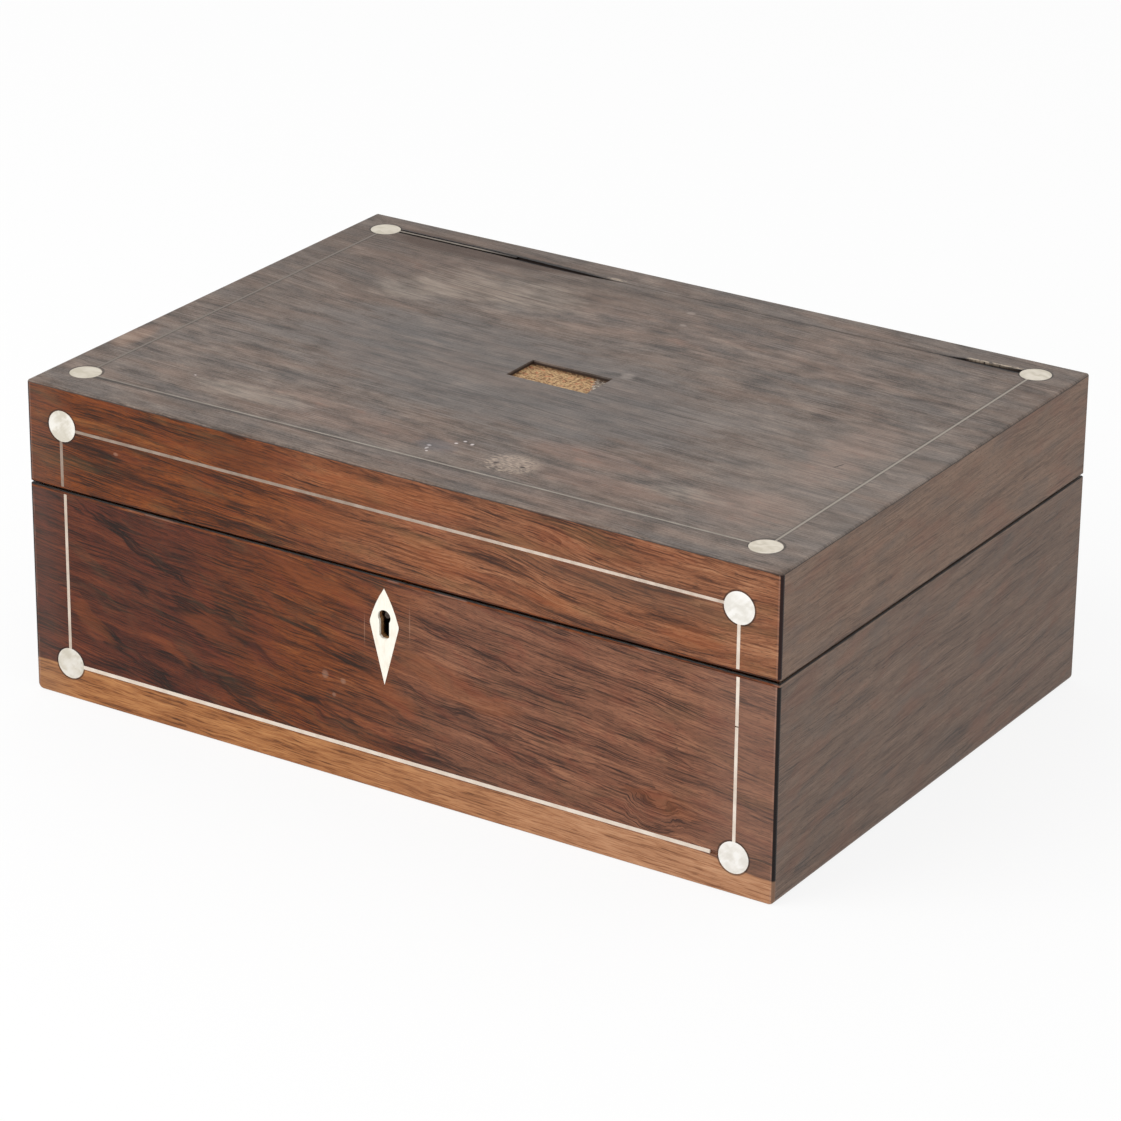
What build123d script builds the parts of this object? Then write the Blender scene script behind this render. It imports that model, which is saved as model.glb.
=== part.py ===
from build123d import *
from math import cos, pi
import os

# A Victorian rosewood box with a hinged lid: a pine carcass, dovetailed, veneered and inlaid,
# with a sliding-bolt lock in the front wall and two butt hinges behind.
# Millimetres. Origin: centre of the underside. +X is to the right, -Y is the front, +Z is up.

os.makedirs("parts", exist_ok=True)

# ---------------------------------------------------------------- the closed box
length = 300.0
depth = 211.0  # over the hinge knuckles
height = 116.5
seam_height = 78.4  # the rim of the base
seam_gap = 0.6  # daylight between the two rims, kept by the hinges

# ---------------------------------------------------------------- walls
wall = 9.0  # pine boards
bottom_thickness = 6.0
top_thickness = 7.0
front_veneer_thickness = 1.2
side_veneer_thickness = 1.0  # the sides and the back
top_veneer_thickness = 0.9
base_facing_thickness = 1.2  # rosewood strips on the rim of the base
lid_facing_thickness = 0.9  # and on the rim of the lid
chip_offset = 7.0  # a shallow chip in the lid's facing, right of the middle of the front
chip_length = 8.0
chip_height = 0.5
chip_depth = 1.5
tail_pitch = 14.3  # dovetails run through the whole corner, as the box was sawn apart at the seam
tail_share = 0.46  # width of a tail at its root, as a share of the pitch
tail_slope = 6.0  # one in six

# ---------------------------------------------------------------- wear of the outer edges
upright_wear = 0.9
foot_wear = 2.2
crown_wear = 1.0
rim_wear = 0.35

# ---------------------------------------------------------------- hinges
hinge_length = 38.0
hinge_inset = 62.0  # from each end of the box to the middle of a hinge
knuckle_count = 3
knuckle_gap = 0.2
barrel_radius = 1.8
barrel_proud = 0.6  # how far the barrel stands out behind the back
barrel_clearance = 0.25  # around the barrel, in the wood and in the other leaf
pin_radius = 0.8
pin_clearance = 0.06  # in the knuckles of the lid's leaf
leaf_width = 8.4
leaf_thickness = 1.2
leaf_screw_pitch = 24.0
leaf_screw_setback = 4.4  # from the hinge axis to the screws
open_angle = 98.0
stop_clearance = 1.0  # degrees left between each chamfer and the plane where they would meet

# ---------------------------------------------------------------- inlay
disc_radius = 5.65
top_disc_radius = 5.6
disc_depth = 1.0
groove_depth = 0.8
string_width = 1.2  # the uprights and the lid's long line
foot_string_width = 1.4  # the long line at the foot
top_string_width = 0.8
base_disc_inset = 15.2
base_disc_height = 13.3
foot_string_height = 13.1
foot_string_loss = 3.2  # the line's right end is broken off short of its disc
lid_disc_inset_left = 14.8
lid_disc_inset_right = 15.4
lid_disc_drop_left = 14.2
lid_disc_drop_right = 15.5
lid_string_drop = 14.9
lid_string_width = 1.1
lid_upright_inset_left = 14.2
upright_break_height = 59.5
upright_break = 0.5

# ---------------------------------------------------------------- the top
band_left = 13.2
band_right = 15.2
band_front = 15.8
band_back = 13.4
back_left_disc = (13.4, 13.6)  # insets from the nearest two edges: the side, then the back or front
back_right_disc = (14.8, 12.0)
front_left_disc = (12.8, 16.4)
front_right_disc = (15.4, 15.6)
right_joints = (49.0, 100.0, 143.0, 159.0)  # veneer joints of the right band, from the back
left_joints = (62.0, 121.0, 170.0)
veneer_joint = 0.08
back_string_rest = 52.0  # what is left of the back line, from its disc
back_string_width = 1.0
back_string_inset = 12.1
hairline = 0.16
# distance from the left end, and how far the veneer stands back from the seam there
band_shrinkage = (
    (12.0, 2.7), (62.0, 2.4), (84.0, 1.3), (104.0, 0.5), (117.0, 0.0),
    (248.0, 0.0), (254.0, 0.7), (262.0, 2.3), (288.0, 2.6),
)
panel_shrinkage = (
    (12.0, 0.3), (62.0, 0.5), (84.0, 1.4), (104.0, 1.2), (118.0, 0.0),
    (250.0, 0.0), (256.0, 0.3), (288.0, 0.4),
)
plate_recess_length = 32.8  # where the name plate was
plate_recess_width = 17.0
plate_recess_depth = 1.9
plate_recess_forward = 1.0  # of the middle of the top

# ---------------------------------------------------------------- escutcheon and lock
lock_offset = -1.3  # of the keyhole, from the middle of the front
escutcheon_top = 74.45
escutcheon_height = 35.0
escutcheon_width = 11.8
escutcheon_shoulder = 13.0  # from its top down to its widest place
escutcheon_depth = 1.0
escutcheon_bow = 0.5  # of its upper sides
escutcheon_rounding = 3.0  # of its shoulders
keyhole_height = 64.05  # centre of the round part
keyhole_radius = 2.55
keyhole_slot = 4.0
keyhole_drop = 7.85  # from the centre to the bottom of the slot
key_pin_radius = 1.1
key_pin_setback = 2.0  # its end, behind the face of the box
selvage_length = 54.0
selvage_thickness = 1.5
lock_width = 7.7
lock_plate_thickness = 1.2
lock_plate_height = 25.0
lock_cap_thickness = 0.8
case_half = 19.5  # inside, from the keyhole to an end wall
case_wall = 1.2
ledge_length = 6.5
lock_clearance = 0.3  # around the bolt
bolt_travel = 4.0
bolt_bar_height = 5.5
bolt_bar_drop = 4.4  # from the selvage's underside to the bar
bolt_bar_thickness = 3.0
nose_thickness = 1.8
nose_height = 2.0
nose_length = 4.0
stem_width = 2.0
talon_width = 5.0
talon_depth = 3.5
loop_spacing = 22.0
loop_thickness = 2.0
loop_width = 4.8
loop_leg = 1.2
loop_reach = 6.0  # below the lid's rim
loop_slot_clearance = 0.5
link_plate_thickness = 1.2
link_bolt_gap = 0.6  # between a nose and its loop when the box is unlocked
spring_thickness = 0.5
spring_width = 2.6
spring_length = 10.0
lock_screw_reach = 23.6  # from the keyhole to a screw
lock_screw_height = 60.0

# ---------------------------------------------------------------- screws and pins
screw_head_radius = 1.7
screw_head_height = 1.2
screw_head_land = 0.15  # the upright edge of the head
screw_radius = 0.9
screw_length = 6.5
screw_sides = 8
screw_slot_width = 0.5
screw_slot_depth = 0.5
brad_thickness = 1.1  # square cut brads
brad_head = 2.2
brad_head_height = 0.6
brad_length = 16.0

# ---------------------------------------------------------------- linings
lining_thickness = 1.6
floor_lining_thickness = 2.4
lining_drop = 2.0  # below the rim
lining_joint = 0.1  # between two linings in a corner
lock_window = 1.0  # of bare wood around the lock plate
pad_thickness = 6.0
pad_clearance = 0.3

# ---------------------------------------------------------------- places worked out from these
left_x = -length / 2
right_x = length / 2
front_y = -depth / 2
back_y = depth / 2 - barrel_proud

carcass_left = left_x + side_veneer_thickness
carcass_right = right_x - side_veneer_thickness
carcass_front = front_y + front_veneer_thickness
carcass_back = back_y - side_veneer_thickness
inner_left = carcass_left + wall
inner_right = carcass_right - wall
inner_front = carcass_front + wall
inner_back = carcass_back - wall

lid_bottom = seam_height + seam_gap
base_board_top = seam_height - base_facing_thickness
lid_board_bottom = lid_bottom + lid_facing_thickness
lid_board_top = height - top_veneer_thickness - top_thickness
veneer_top = height - top_veneer_thickness

axis_y = back_y - barrel_radius + barrel_proud
axis_z = seam_height + seam_gap / 2
hinge_places = (left_x + hinge_inset, right_x - hinge_inset)
knuckle_length = hinge_length / knuckle_count

lock_x = lock_offset
case_front = inner_front - lock_width
selvage_bottom = seam_height - selvage_thickness
plate_bottom = seam_height - lock_plate_height
plate_front = inner_front - lock_plate_thickness
loop_middle = (case_front + lock_cap_thickness + plate_front) / 2
bar_top = selvage_bottom - bolt_bar_drop
bar_bottom = bar_top - bolt_bar_height
bar_back = plate_front - lock_clearance
loop_bottom = lid_bottom - loop_reach


def strip(x_range, y_range, mode=Mode.ADD):
    """Draws a rectangle between two corners in the open sketch."""
    with Locations(((x_range[0] + x_range[1]) / 2, (y_range[0] + y_range[1]) / 2)):
        Rectangle(x_range[1] - x_range[0], y_range[1] - y_range[0], mode=mode)


def board(x_range, y_range, z_range):
    """A straight board between two corners."""
    with BuildPart() as plain:
        with BuildSketch(Plane.XY.offset(z_range[0])):
            strip(x_range, y_range)
        extrude(amount=z_range[1] - z_range[0])
    return plain.part


def finish(piece, name):
    """Names a finished piece and writes it."""
    piece.part.label = name
    export_step(piece.part, f"parts/{name}.step")


# ================================================================ outer forms and their worn edges
# Every outer piece is trimmed to one of these two forms, so that the wear runs across the joints.
def worn_form(low, high, rim_side, corner_wear):
    """The closed form of the base, whose rim is above (1), or of the lid, whose rim is below (-1)."""
    with BuildPart() as form:
        with BuildSketch(Plane.XZ.offset(-front_y)) as profile:
            with Locations((0, (low + high) / 2)):
                Rectangle(length, high - low)
            far_corners = profile.vertices().group_by(Axis.Y)[0 if rim_side > 0 else -1]
            fillet(far_corners, radius=corner_wear)
        extrude(amount=front_y - back_y)
        rim_face = form.faces().filter_by(Axis.Z).sort_by(Axis.Z)[-1 if rim_side > 0 else 0]
        fillet(form.faces().filter_by(Axis.Y).edges() - rim_face.edges(), radius=upright_wear)
        rim_face = form.faces().filter_by(Axis.Z).sort_by(Axis.Z)[-1 if rim_side > 0 else 0]
        chamfer(rim_face.edges(), length=rim_wear)
        # the back edge is planed to a bevel, and the two bevels meet to stop the open lid
        bevel = -rim_side * (open_angle / 2 + stop_clearance)
        with BuildSketch(Plane.YZ.offset(left_x)):
            with BuildLine():
                hinge_line = Vector(axis_y, axis_z)
                reach = Vector(depth / 10, 0)
                Polyline(hinge_line, hinge_line + reach, hinge_line + reach.rotate(Axis.Z, bevel), close=True)
            make_face()
        extrude(amount=length, mode=Mode.SUBTRACT)
    return form.part


base_form = worn_form(0, seam_height, 1, foot_wear)
lid_form = worn_form(lid_bottom, height, -1, crown_wear)


# ================================================================ hinges
# The wood is cut out square for the barrel, and each leaf for the knuckles of the other.
barrel_housing = 2 * (barrel_radius + barrel_clearance)


def hinge_seat(rim_side):
    """What the wood of the base (1) or of the lid (-1) gives up to both hinges."""
    rim = axis_z - rim_side * seam_gap / 2
    with BuildPart() as seat:
        for x in hinge_places:
            with BuildSketch(Plane.YZ.offset(x - hinge_length / 2)):
                with Locations((axis_y, axis_z)):
                    Rectangle(barrel_housing, barrel_housing)
                with Locations((axis_y - leaf_width / 2, rim - rim_side * leaf_thickness / 2)):
                    Rectangle(leaf_width, leaf_thickness)
            extrude(amount=hinge_length)
    return seat.part


def leaves(rim_side, own_knuckles, bore_radius):
    """Both leaves of one side: a plate let into the rim, rolled into its share of the knuckles."""
    rim = axis_z - rim_side * seam_gap / 2
    with BuildPart() as pair:
        for x in hinge_places:
            start = x - hinge_length / 2
            with BuildSketch(Plane.YZ.offset(start)):
                with Locations((axis_y - leaf_width / 2, rim - rim_side * leaf_thickness / 2)):
                    Rectangle(leaf_width, leaf_thickness)
            extrude(amount=hinge_length)
            for knuckle in range(knuckle_count):
                near = start + knuckle * knuckle_length
                if knuckle in own_knuckles:
                    with BuildSketch(Plane.YZ.offset(near + knuckle_gap / 2)):
                        with Locations((axis_y, axis_z)):
                            Circle(barrel_radius)
                    extrude(amount=knuckle_length - knuckle_gap)
                else:
                    with BuildSketch(Plane.YZ.offset(near - knuckle_gap / 2)):
                        with Locations((axis_y, axis_z)):
                            Rectangle(barrel_housing, barrel_housing)
                    extrude(amount=knuckle_length + knuckle_gap, mode=Mode.SUBTRACT)
            with BuildSketch(Plane.YZ.offset(start)):
                with Locations((axis_y, axis_z)):
                    Circle(bore_radius)
            extrude(amount=hinge_length, mode=Mode.SUBTRACT)
    return pair.part


# ================================================================ screws
def screw_form(slotted):
    """A countersunk screw, head up, with the face of its head at z = 0. Filed by hand, it is many-sided."""
    with BuildPart() as screw:
        with BuildSketch():
            RegularPolygon(screw_head_radius, screw_sides)
        extrude(amount=-screw_head_height)
        underside = screw.faces().sort_by(Axis.Z)[0]
        shoulder = (screw_head_radius - screw_radius) * cos(pi / screw_sides)
        countersink = screw_head_height - screw_head_land
        chamfer(underside.edges(), length=shoulder, length2=countersink, reference=underside)
        with BuildSketch(Plane.XY.offset(-screw_length)):
            RegularPolygon(screw_radius, screw_sides)
        extrude(amount=screw_length - screw_head_height)
        if slotted:
            with BuildSketch(Plane.XY):
                Rectangle(2 * screw_head_radius, screw_slot_width)
            extrude(amount=-screw_slot_depth, mode=Mode.SUBTRACT)
    return screw.part


def leaf_screw_planes(rim_side):
    """Two screws in each leaf, their heads in the rim."""
    rim = axis_z - rim_side * seam_gap / 2
    origins = [
        (x + step * leaf_screw_pitch, axis_y - leaf_screw_setback, rim)
        for x in hinge_places
        for step in (-0.5, 0.5)
    ]
    return [Plane(origin=origin, x_dir=(1, 1, 0), z_dir=(0, 0, rim_side)) for origin in origins]


lock_screw_x = (lock_x - lock_screw_reach, lock_x + lock_screw_reach)
base_screw_planes = leaf_screw_planes(1)
base_screw_planes += [Plane(origin=(x, loop_middle, seam_height), x_dir=(1, 0.4, 0)) for x in lock_screw_x]
base_screw_planes += [
    Plane(origin=(x, inner_front, lock_screw_height), x_dir=(1, 0, 1), z_dir=(0, 1, 0)) for x in lock_screw_x
]
lid_screw_planes = leaf_screw_planes(-1)
lid_screw_planes += [
    Plane(origin=(x, loop_middle, lid_bottom), x_dir=(1, -0.6, 0), z_dir=(0, 0, -1)) for x in lock_screw_x
]


def screws(planes, slotted=True):
    """The same screw driven at each of these planes, or the holes that they fill."""
    with BuildPart() as group:
        with Locations(*planes):
            add(screw_form(slotted))
    return group.part


base_screw_holes = screws(base_screw_planes, slotted=False)
lid_screw_holes = screws(lid_screw_planes, slotted=False)

with BuildPart() as base_screws:
    add(screws(base_screw_planes))
finish(base_screws, "base_screws")

with BuildPart() as lid_screws:
    add(screws(lid_screw_planes))
finish(lid_screws, "lid_screws")

with BuildPart() as lower_leaves:
    add(leaves(1, range(0, knuckle_count, 2), pin_radius))
    add(base_screw_holes, mode=Mode.SUBTRACT)
finish(lower_leaves, "lower_leaves")

with BuildPart() as upper_leaves:
    add(leaves(-1, range(1, knuckle_count, 2), pin_radius + pin_clearance))
    add(lid_screw_holes, mode=Mode.SUBTRACT)
finish(upper_leaves, "upper_leaves")

with BuildPart() as hinge_pins:
    for x in hinge_places:
        with BuildSketch(Plane.YZ.offset(x - hinge_length / 2)):
            with Locations((axis_y, axis_z)):
                Circle(pin_radius)
        extrude(amount=hinge_length)
finish(hinge_pins, "hinge_pins")

base_hinge_seat = hinge_seat(1)
lid_hinge_seat = hinge_seat(-1)


# ================================================================ lock
# A brass box lock. Its case is let into the front wall from above and from inside, the selvage lies
# flush in the rim, and two noses on the bolt slide through the loops that hang from the lid's plate.
def keyhole():
    """The key's way in: a round hole with a slot below it, drawn in the plane of the front."""
    with BuildSketch() as hole:
        with Locations((lock_x, keyhole_height)):
            Circle(keyhole_radius)
        with BuildLine():
            foot = keyhole_height - keyhole_drop
            half = keyhole_slot / 2
            Polyline(
                (lock_x - half, keyhole_height),
                (lock_x - half, foot + half / 2),
                (lock_x - half / 2, foot),
                (lock_x + half / 2, foot),
                (lock_x + half, foot + half / 2),
                (lock_x + half, keyhole_height),
                close=True,
            )
        make_face()
    return hole.sketch


with BuildPart() as keyway:
    with BuildSketch(Plane.XZ.offset(-front_y)):
        add(keyhole())
    extrude(amount=-(case_front + lock_cap_thickness - front_y))

with BuildPart() as lock_mortise:
    add(
        board(
            (lock_x - case_half - case_wall, lock_x + case_half + case_wall),
            (case_front, inner_front),
            (plate_bottom, seam_height),
        )
    )
    add(
        board(
            (lock_x - selvage_length / 2, lock_x + selvage_length / 2),
            (plate_front, inner_front),
            (plate_bottom, seam_height),
        )
    )
    add(
        board(
            (lock_x - selvage_length / 2, lock_x + selvage_length / 2),
            (case_front, inner_front),
            (selvage_bottom, seam_height),
        )
    )

with BuildPart() as lock_case:
    add(lock_mortise.part)
    # the hollow for the bolt, open towards the cap
    with BuildSketch(Plane.XZ.offset(-case_front)):
        with Locations((lock_x, (plate_bottom + case_wall + selvage_bottom) / 2)):
            Rectangle(2 * case_half, selvage_bottom - plate_bottom - case_wall)
    extrude(amount=-(plate_front - case_front), mode=Mode.SUBTRACT)
    # the cap's seat on the front edges of the case
    with BuildSketch(Plane.XZ.offset(-case_front)):
        with Locations((lock_x, (plate_bottom + selvage_bottom) / 2)):
            Rectangle(2 * (case_half + case_wall), selvage_bottom - plate_bottom)
    extrude(amount=-lock_cap_thickness, mode=Mode.SUBTRACT)
    # a ledge at each end carries the bolt
    with BuildSketch(Plane.XZ.offset(-plate_front)):
        with Locations(
            (lock_x - case_half + ledge_length / 2, bar_bottom - lock_clearance - case_wall / 2),
            (lock_x + case_half - ledge_length / 2, bar_bottom - lock_clearance - case_wall / 2),
        ):
            Rectangle(ledge_length, case_wall)
    extrude(amount=plate_front - case_front - lock_cap_thickness)
    # the slots for the loops
    with BuildSketch(Plane.XY.offset(seam_height)):
        with Locations((lock_x - loop_spacing / 2, loop_middle), (lock_x + loop_spacing / 2, loop_middle)):
            Rectangle(loop_thickness + 2 * loop_slot_clearance, plate_front - case_front - lock_cap_thickness)
    extrude(amount=-selvage_thickness, mode=Mode.SUBTRACT)
    add(base_screw_holes, mode=Mode.SUBTRACT)
finish(lock_case, "lock_case")

with BuildPart() as lock_cap:
    with BuildSketch(Plane.XZ.offset(-case_front)):
        with Locations((lock_x, (plate_bottom + selvage_bottom) / 2)):
            Rectangle(2 * (case_half + case_wall), selvage_bottom - plate_bottom)
        add(keyhole(), mode=Mode.SUBTRACT)
    extrude(amount=-lock_cap_thickness)
finish(lock_cap, "lock_cap")

with BuildPart() as key_pin:
    with BuildSketch(Plane.XZ.offset(-plate_front)):
        with Locations((lock_x, keyhole_height)):
            Circle(key_pin_radius)
    extrude(amount=plate_front - front_y - key_pin_setback)
finish(key_pin, "key_pin")

# The bolt at rest is drawn back to the left, clear of both loops.
loop_left = lock_x - loop_spacing / 2 - loop_thickness / 2
nose_tips = (loop_left - link_bolt_gap, loop_left + loop_spacing - link_bolt_gap)
bar_left = nose_tips[0] - nose_length - stem_width
bar_right = lock_x + case_half - bolt_travel - link_bolt_gap
nose_bottom = loop_bottom + loop_leg + lock_clearance

with BuildPart() as lock_bolt:
    with BuildSketch(Plane.XZ.offset(-bar_back)):
        with Locations(((bar_left + bar_right) / 2, (bar_top + bar_bottom) / 2)):
            Rectangle(bar_right - bar_left, bolt_bar_height)
        # the talon, where the key's bit takes the bolt
        with Locations((lock_x - bolt_travel / 2, bar_bottom)):
            RectangleRounded(talon_width, 2 * talon_depth, radius=talon_width / 4, mode=Mode.SUBTRACT)
    extrude(amount=bolt_bar_thickness)
    with BuildSketch(Plane.XZ.offset(nose_thickness / 2 - loop_middle)):
        for tip in nose_tips:
            with BuildLine():
                Polyline(
                    (tip - nose_length - stem_width, bar_top - nose_height),
                    (tip - nose_length - stem_width, nose_bottom + nose_height),
                    (tip - nose_height / 2, nose_bottom + nose_height),
                    (tip, nose_bottom + nose_height / 2),
                    (tip, nose_bottom),
                    (tip - nose_length, nose_bottom),
                    (tip - nose_length, bar_top - nose_height),
                    close=True,
                )
            make_face()
    extrude(amount=-nose_thickness)
finish(lock_bolt, "lock_bolt")

# A leaf spring, bowed between the bolt and the selvage, rides on the bolt and holds it where it is left.
with BuildPart() as bolt_spring:
    spring_x = lock_x - bolt_travel / 2
    spring_top = selvage_bottom - lock_clearance / 2
    with BuildSketch(Plane.XZ.offset(spring_width / 2 - loop_middle)):
        for skin, mode in ((0, Mode.ADD), (spring_thickness, Mode.SUBTRACT)):
            with BuildLine():
                near_foot = (spring_x - spring_length / 2 + skin, bar_top)
                far_foot = (spring_x + spring_length / 2 - skin, bar_top)
                ThreePointArc(near_foot, (spring_x, spring_top - skin), far_foot)
                Line(far_foot, near_foot)
            make_face(mode=mode)
    extrude(amount=-spring_width)
finish(bolt_spring, "bolt_spring")

with BuildPart() as link_mortise:
    add(
        board(
            (lock_x - selvage_length / 2, lock_x + selvage_length / 2),
            (case_front, inner_front),
            (lid_bottom, lid_bottom + link_plate_thickness),
        )
    )

with BuildPart() as link_plate:
    add(link_mortise.part)
    with BuildSketch(Plane.YZ.offset(loop_left)) as loop:
        with Locations((loop_middle, lid_bottom)):
            Rectangle(loop_width, loop_reach, align=(Align.CENTER, Align.MAX))
        chamfer(loop.vertices().group_by(Axis.Y)[0], length=loop_leg / 2)
        with Locations((loop_middle, lid_bottom)):
            window = loop_reach - loop_leg
            Rectangle(loop_width - 2 * loop_leg, window, align=(Align.CENTER, Align.MAX), mode=Mode.SUBTRACT)
    extrude(amount=loop_thickness)
    with BuildSketch(Plane.YZ.offset(loop_left + loop_spacing)):
        add(loop.sketch_local)
    extrude(amount=loop_thickness)
    add(lid_screw_holes, mode=Mode.SUBTRACT)
finish(link_plate, "link_plate")


# ================================================================ pine carcass
def tails(face_y, low, high):
    """The tails on both ends of a long board, front or back, whose outer face is at face_y."""
    count = round((high - low) / tail_pitch)
    pitch = (high - low) / count
    root = pitch * tail_share / 2
    end = root + wall / tail_slope
    with BuildPart() as rows:
        with BuildSketch(Plane.XZ.offset(-face_y)):
            for row in range(count):
                middle = low + (row + 0.5) * pitch
                for outer, inner in ((carcass_left, inner_left), (carcass_right, inner_right)):
                    with BuildLine():
                        Polyline(
                            (outer, middle - end),
                            (inner, middle - root),
                            (inner, middle + root),
                            (outer, middle + end),
                            close=True,
                        )
                    make_face()
        extrude(amount=-wall)
    return rows.part


base_front_tails = tails(carcass_front, bottom_thickness, base_board_top)
base_back_tails = tails(inner_back, bottom_thickness, base_board_top)
lid_front_tails = tails(carcass_front, lid_board_bottom, lid_board_top)
lid_back_tails = tails(inner_back, lid_board_bottom, lid_board_top)

# cut brads up through the bottom board into the walls, four along the front and back, one in each side
brad_spacing = length / 4
brad_places = [
    (step * brad_spacing, y)
    for step in (-1.5, -0.5, 0.5, 1.5)
    for y in (carcass_front + wall / 2, carcass_back - wall / 2)
]
brad_places += [(carcass_left + wall / 2, 0), (carcass_right - wall / 2, 0)]

with BuildPart() as bottom_brads:
    with BuildSketch():
        with Locations(*brad_places):
            Rectangle(brad_head, brad_thickness)
    extrude(amount=brad_head_height)
    with BuildSketch():
        with Locations(*brad_places):
            Rectangle(brad_thickness, brad_thickness)
    extrude(amount=brad_length)
finish(bottom_brads, "bottom_brads")

with BuildPart() as bottom_board:
    add(board((carcass_left, carcass_right), (carcass_front, carcass_back), (0, bottom_thickness)))
    add(base_form, mode=Mode.INTERSECT)
    add(bottom_brads.part, mode=Mode.SUBTRACT)
finish(bottom_board, "bottom_board")

with BuildPart() as front_board:
    add(board((inner_left, inner_right), (carcass_front, inner_front), (bottom_thickness, base_board_top)))
    add(base_front_tails)
    add(lock_mortise.part, mode=Mode.SUBTRACT)
    add(keyway.part, mode=Mode.SUBTRACT)
    add(base_screw_holes, mode=Mode.SUBTRACT)
    add(bottom_brads.part, mode=Mode.SUBTRACT)
finish(front_board, "front_board")

with BuildPart() as back_board:
    add(board((inner_left, inner_right), (inner_back, carcass_back), (bottom_thickness, base_board_top)))
    add(base_back_tails)
    add(base_form, mode=Mode.INTERSECT)
    add(base_hinge_seat, mode=Mode.SUBTRACT)
    add(base_screw_holes, mode=Mode.SUBTRACT)
    add(bottom_brads.part, mode=Mode.SUBTRACT)
finish(back_board, "back_board")

for name, x_range in (
    ("left_board", (carcass_left, inner_left)),
    ("right_board", (inner_right, carcass_right)),
):
    with BuildPart() as side_board:
        add(board(x_range, (carcass_front, carcass_back), (bottom_thickness, base_board_top)))
        add(base_front_tails, mode=Mode.SUBTRACT)
        add(base_back_tails, mode=Mode.SUBTRACT)
        add(base_form, mode=Mode.INTERSECT)
        add(bottom_brads.part, mode=Mode.SUBTRACT)
    finish(side_board, name)

# The recess of the lost name plate goes through the top veneer into the board below.
plate_middle_y = -plate_recess_forward

with BuildPart() as plate_recess:
    with BuildSketch(Plane.XY.offset(height)):
        with Locations((0, plate_middle_y)):
            Rectangle(plate_recess_length, plate_recess_width)
    extrude(amount=-plate_recess_depth)

with BuildPart() as lid_top_board:
    add(board((carcass_left, carcass_right), (carcass_front, carcass_back), (lid_board_top, veneer_top)))
    add(plate_recess.part, mode=Mode.SUBTRACT)
finish(lid_top_board, "lid_top_board")

with BuildPart() as lid_front_board:
    add(board((inner_left, inner_right), (carcass_front, inner_front), (lid_board_bottom, lid_board_top)))
    add(lid_front_tails)
    add(link_mortise.part, mode=Mode.SUBTRACT)
    add(lid_screw_holes, mode=Mode.SUBTRACT)
finish(lid_front_board, "lid_front_board")

with BuildPart() as lid_back_board:
    add(board((inner_left, inner_right), (inner_back, carcass_back), (lid_board_bottom, lid_board_top)))
    add(lid_back_tails)
    add(lid_form, mode=Mode.INTERSECT)
    add(lid_hinge_seat, mode=Mode.SUBTRACT)
    add(lid_screw_holes, mode=Mode.SUBTRACT)
finish(lid_back_board, "lid_back_board")

for name, x_range in (
    ("lid_left_board", (carcass_left, inner_left)),
    ("lid_right_board", (inner_right, carcass_right)),
):
    with BuildPart() as side_board:
        add(board(x_range, (carcass_front, carcass_back), (lid_board_bottom, lid_board_top)))
        add(lid_front_tails, mode=Mode.SUBTRACT)
        add(lid_back_tails, mode=Mode.SUBTRACT)
        add(lid_form, mode=Mode.INTERSECT)
    finish(side_board, name)


# ================================================================ rims
# Rosewood strips, mitred at the corners, face the sawn edges of the base and of the lid.
outer_corners = {
    "front_left": (left_x, front_y),
    "front_right": (right_x, front_y),
    "back_right": (right_x, back_y),
    "back_left": (left_x, back_y),
}
inner_corners = {
    "front_left": (inner_left, inner_front),
    "front_right": (inner_right, inner_front),
    "back_right": (inner_right, inner_back),
    "back_left": (inner_left, inner_back),
}
rim_sides = {
    "front": ("front_left", "front_right"),
    "right": ("front_right", "back_right"),
    "back": ("back_right", "back_left"),
    "left": ("back_left", "front_left"),
}

for side, (start, end) in rim_sides.items():
    outline = (outer_corners[start], outer_corners[end], inner_corners[end], inner_corners[start])
    with BuildPart() as base_facing:
        with BuildSketch(Plane.XY.offset(base_board_top)):
            with BuildLine():
                Polyline(*outline, close=True)
            make_face()
        extrude(amount=base_facing_thickness)
        add(base_form, mode=Mode.INTERSECT)
        if side == "front":
            add(lock_mortise.part, mode=Mode.SUBTRACT)
        if side == "back":
            add(base_hinge_seat, mode=Mode.SUBTRACT)
    finish(base_facing, f"{side}_facing")

    with BuildPart() as lid_facing:
        with BuildSketch(Plane.XY.offset(lid_bottom)):
            with BuildLine():
                Polyline(*outline, close=True)
            make_face()
        extrude(amount=lid_facing_thickness)
        add(lid_form, mode=Mode.INTERSECT)
        if side == "front":
            add(link_mortise.part, mode=Mode.SUBTRACT)
            with BuildSketch(Plane.XZ.offset(-front_y)):
                with BuildLine():
                    chip_left = (chip_offset - chip_length / 2, lid_bottom)
                    chip_right = (chip_offset + chip_length / 2, lid_bottom)
                    ThreePointArc(chip_left, (chip_offset, lid_bottom + chip_height), chip_right)
                    Line(chip_right, chip_left)
                make_face()
            extrude(amount=-chip_depth, mode=Mode.SUBTRACT)
        if side == "back":
            add(lid_hinge_seat, mode=Mode.SUBTRACT)
    finish(lid_facing, f"lid_{side}_facing")


# ================================================================ inlay of the front
base_discs_at = (
    (left_x + base_disc_inset, base_disc_height),
    (right_x - base_disc_inset, base_disc_height),
)
lid_discs_at = (
    (left_x + lid_disc_inset_left, height - lid_disc_drop_left),
    (right_x - lid_disc_inset_right, height - lid_disc_drop_right),
)
front_plane = Plane.XZ.offset(-front_y)

with BuildSketch() as base_disc_outlines:
    with Locations(*base_discs_at):
        Circle(disc_radius)

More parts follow.
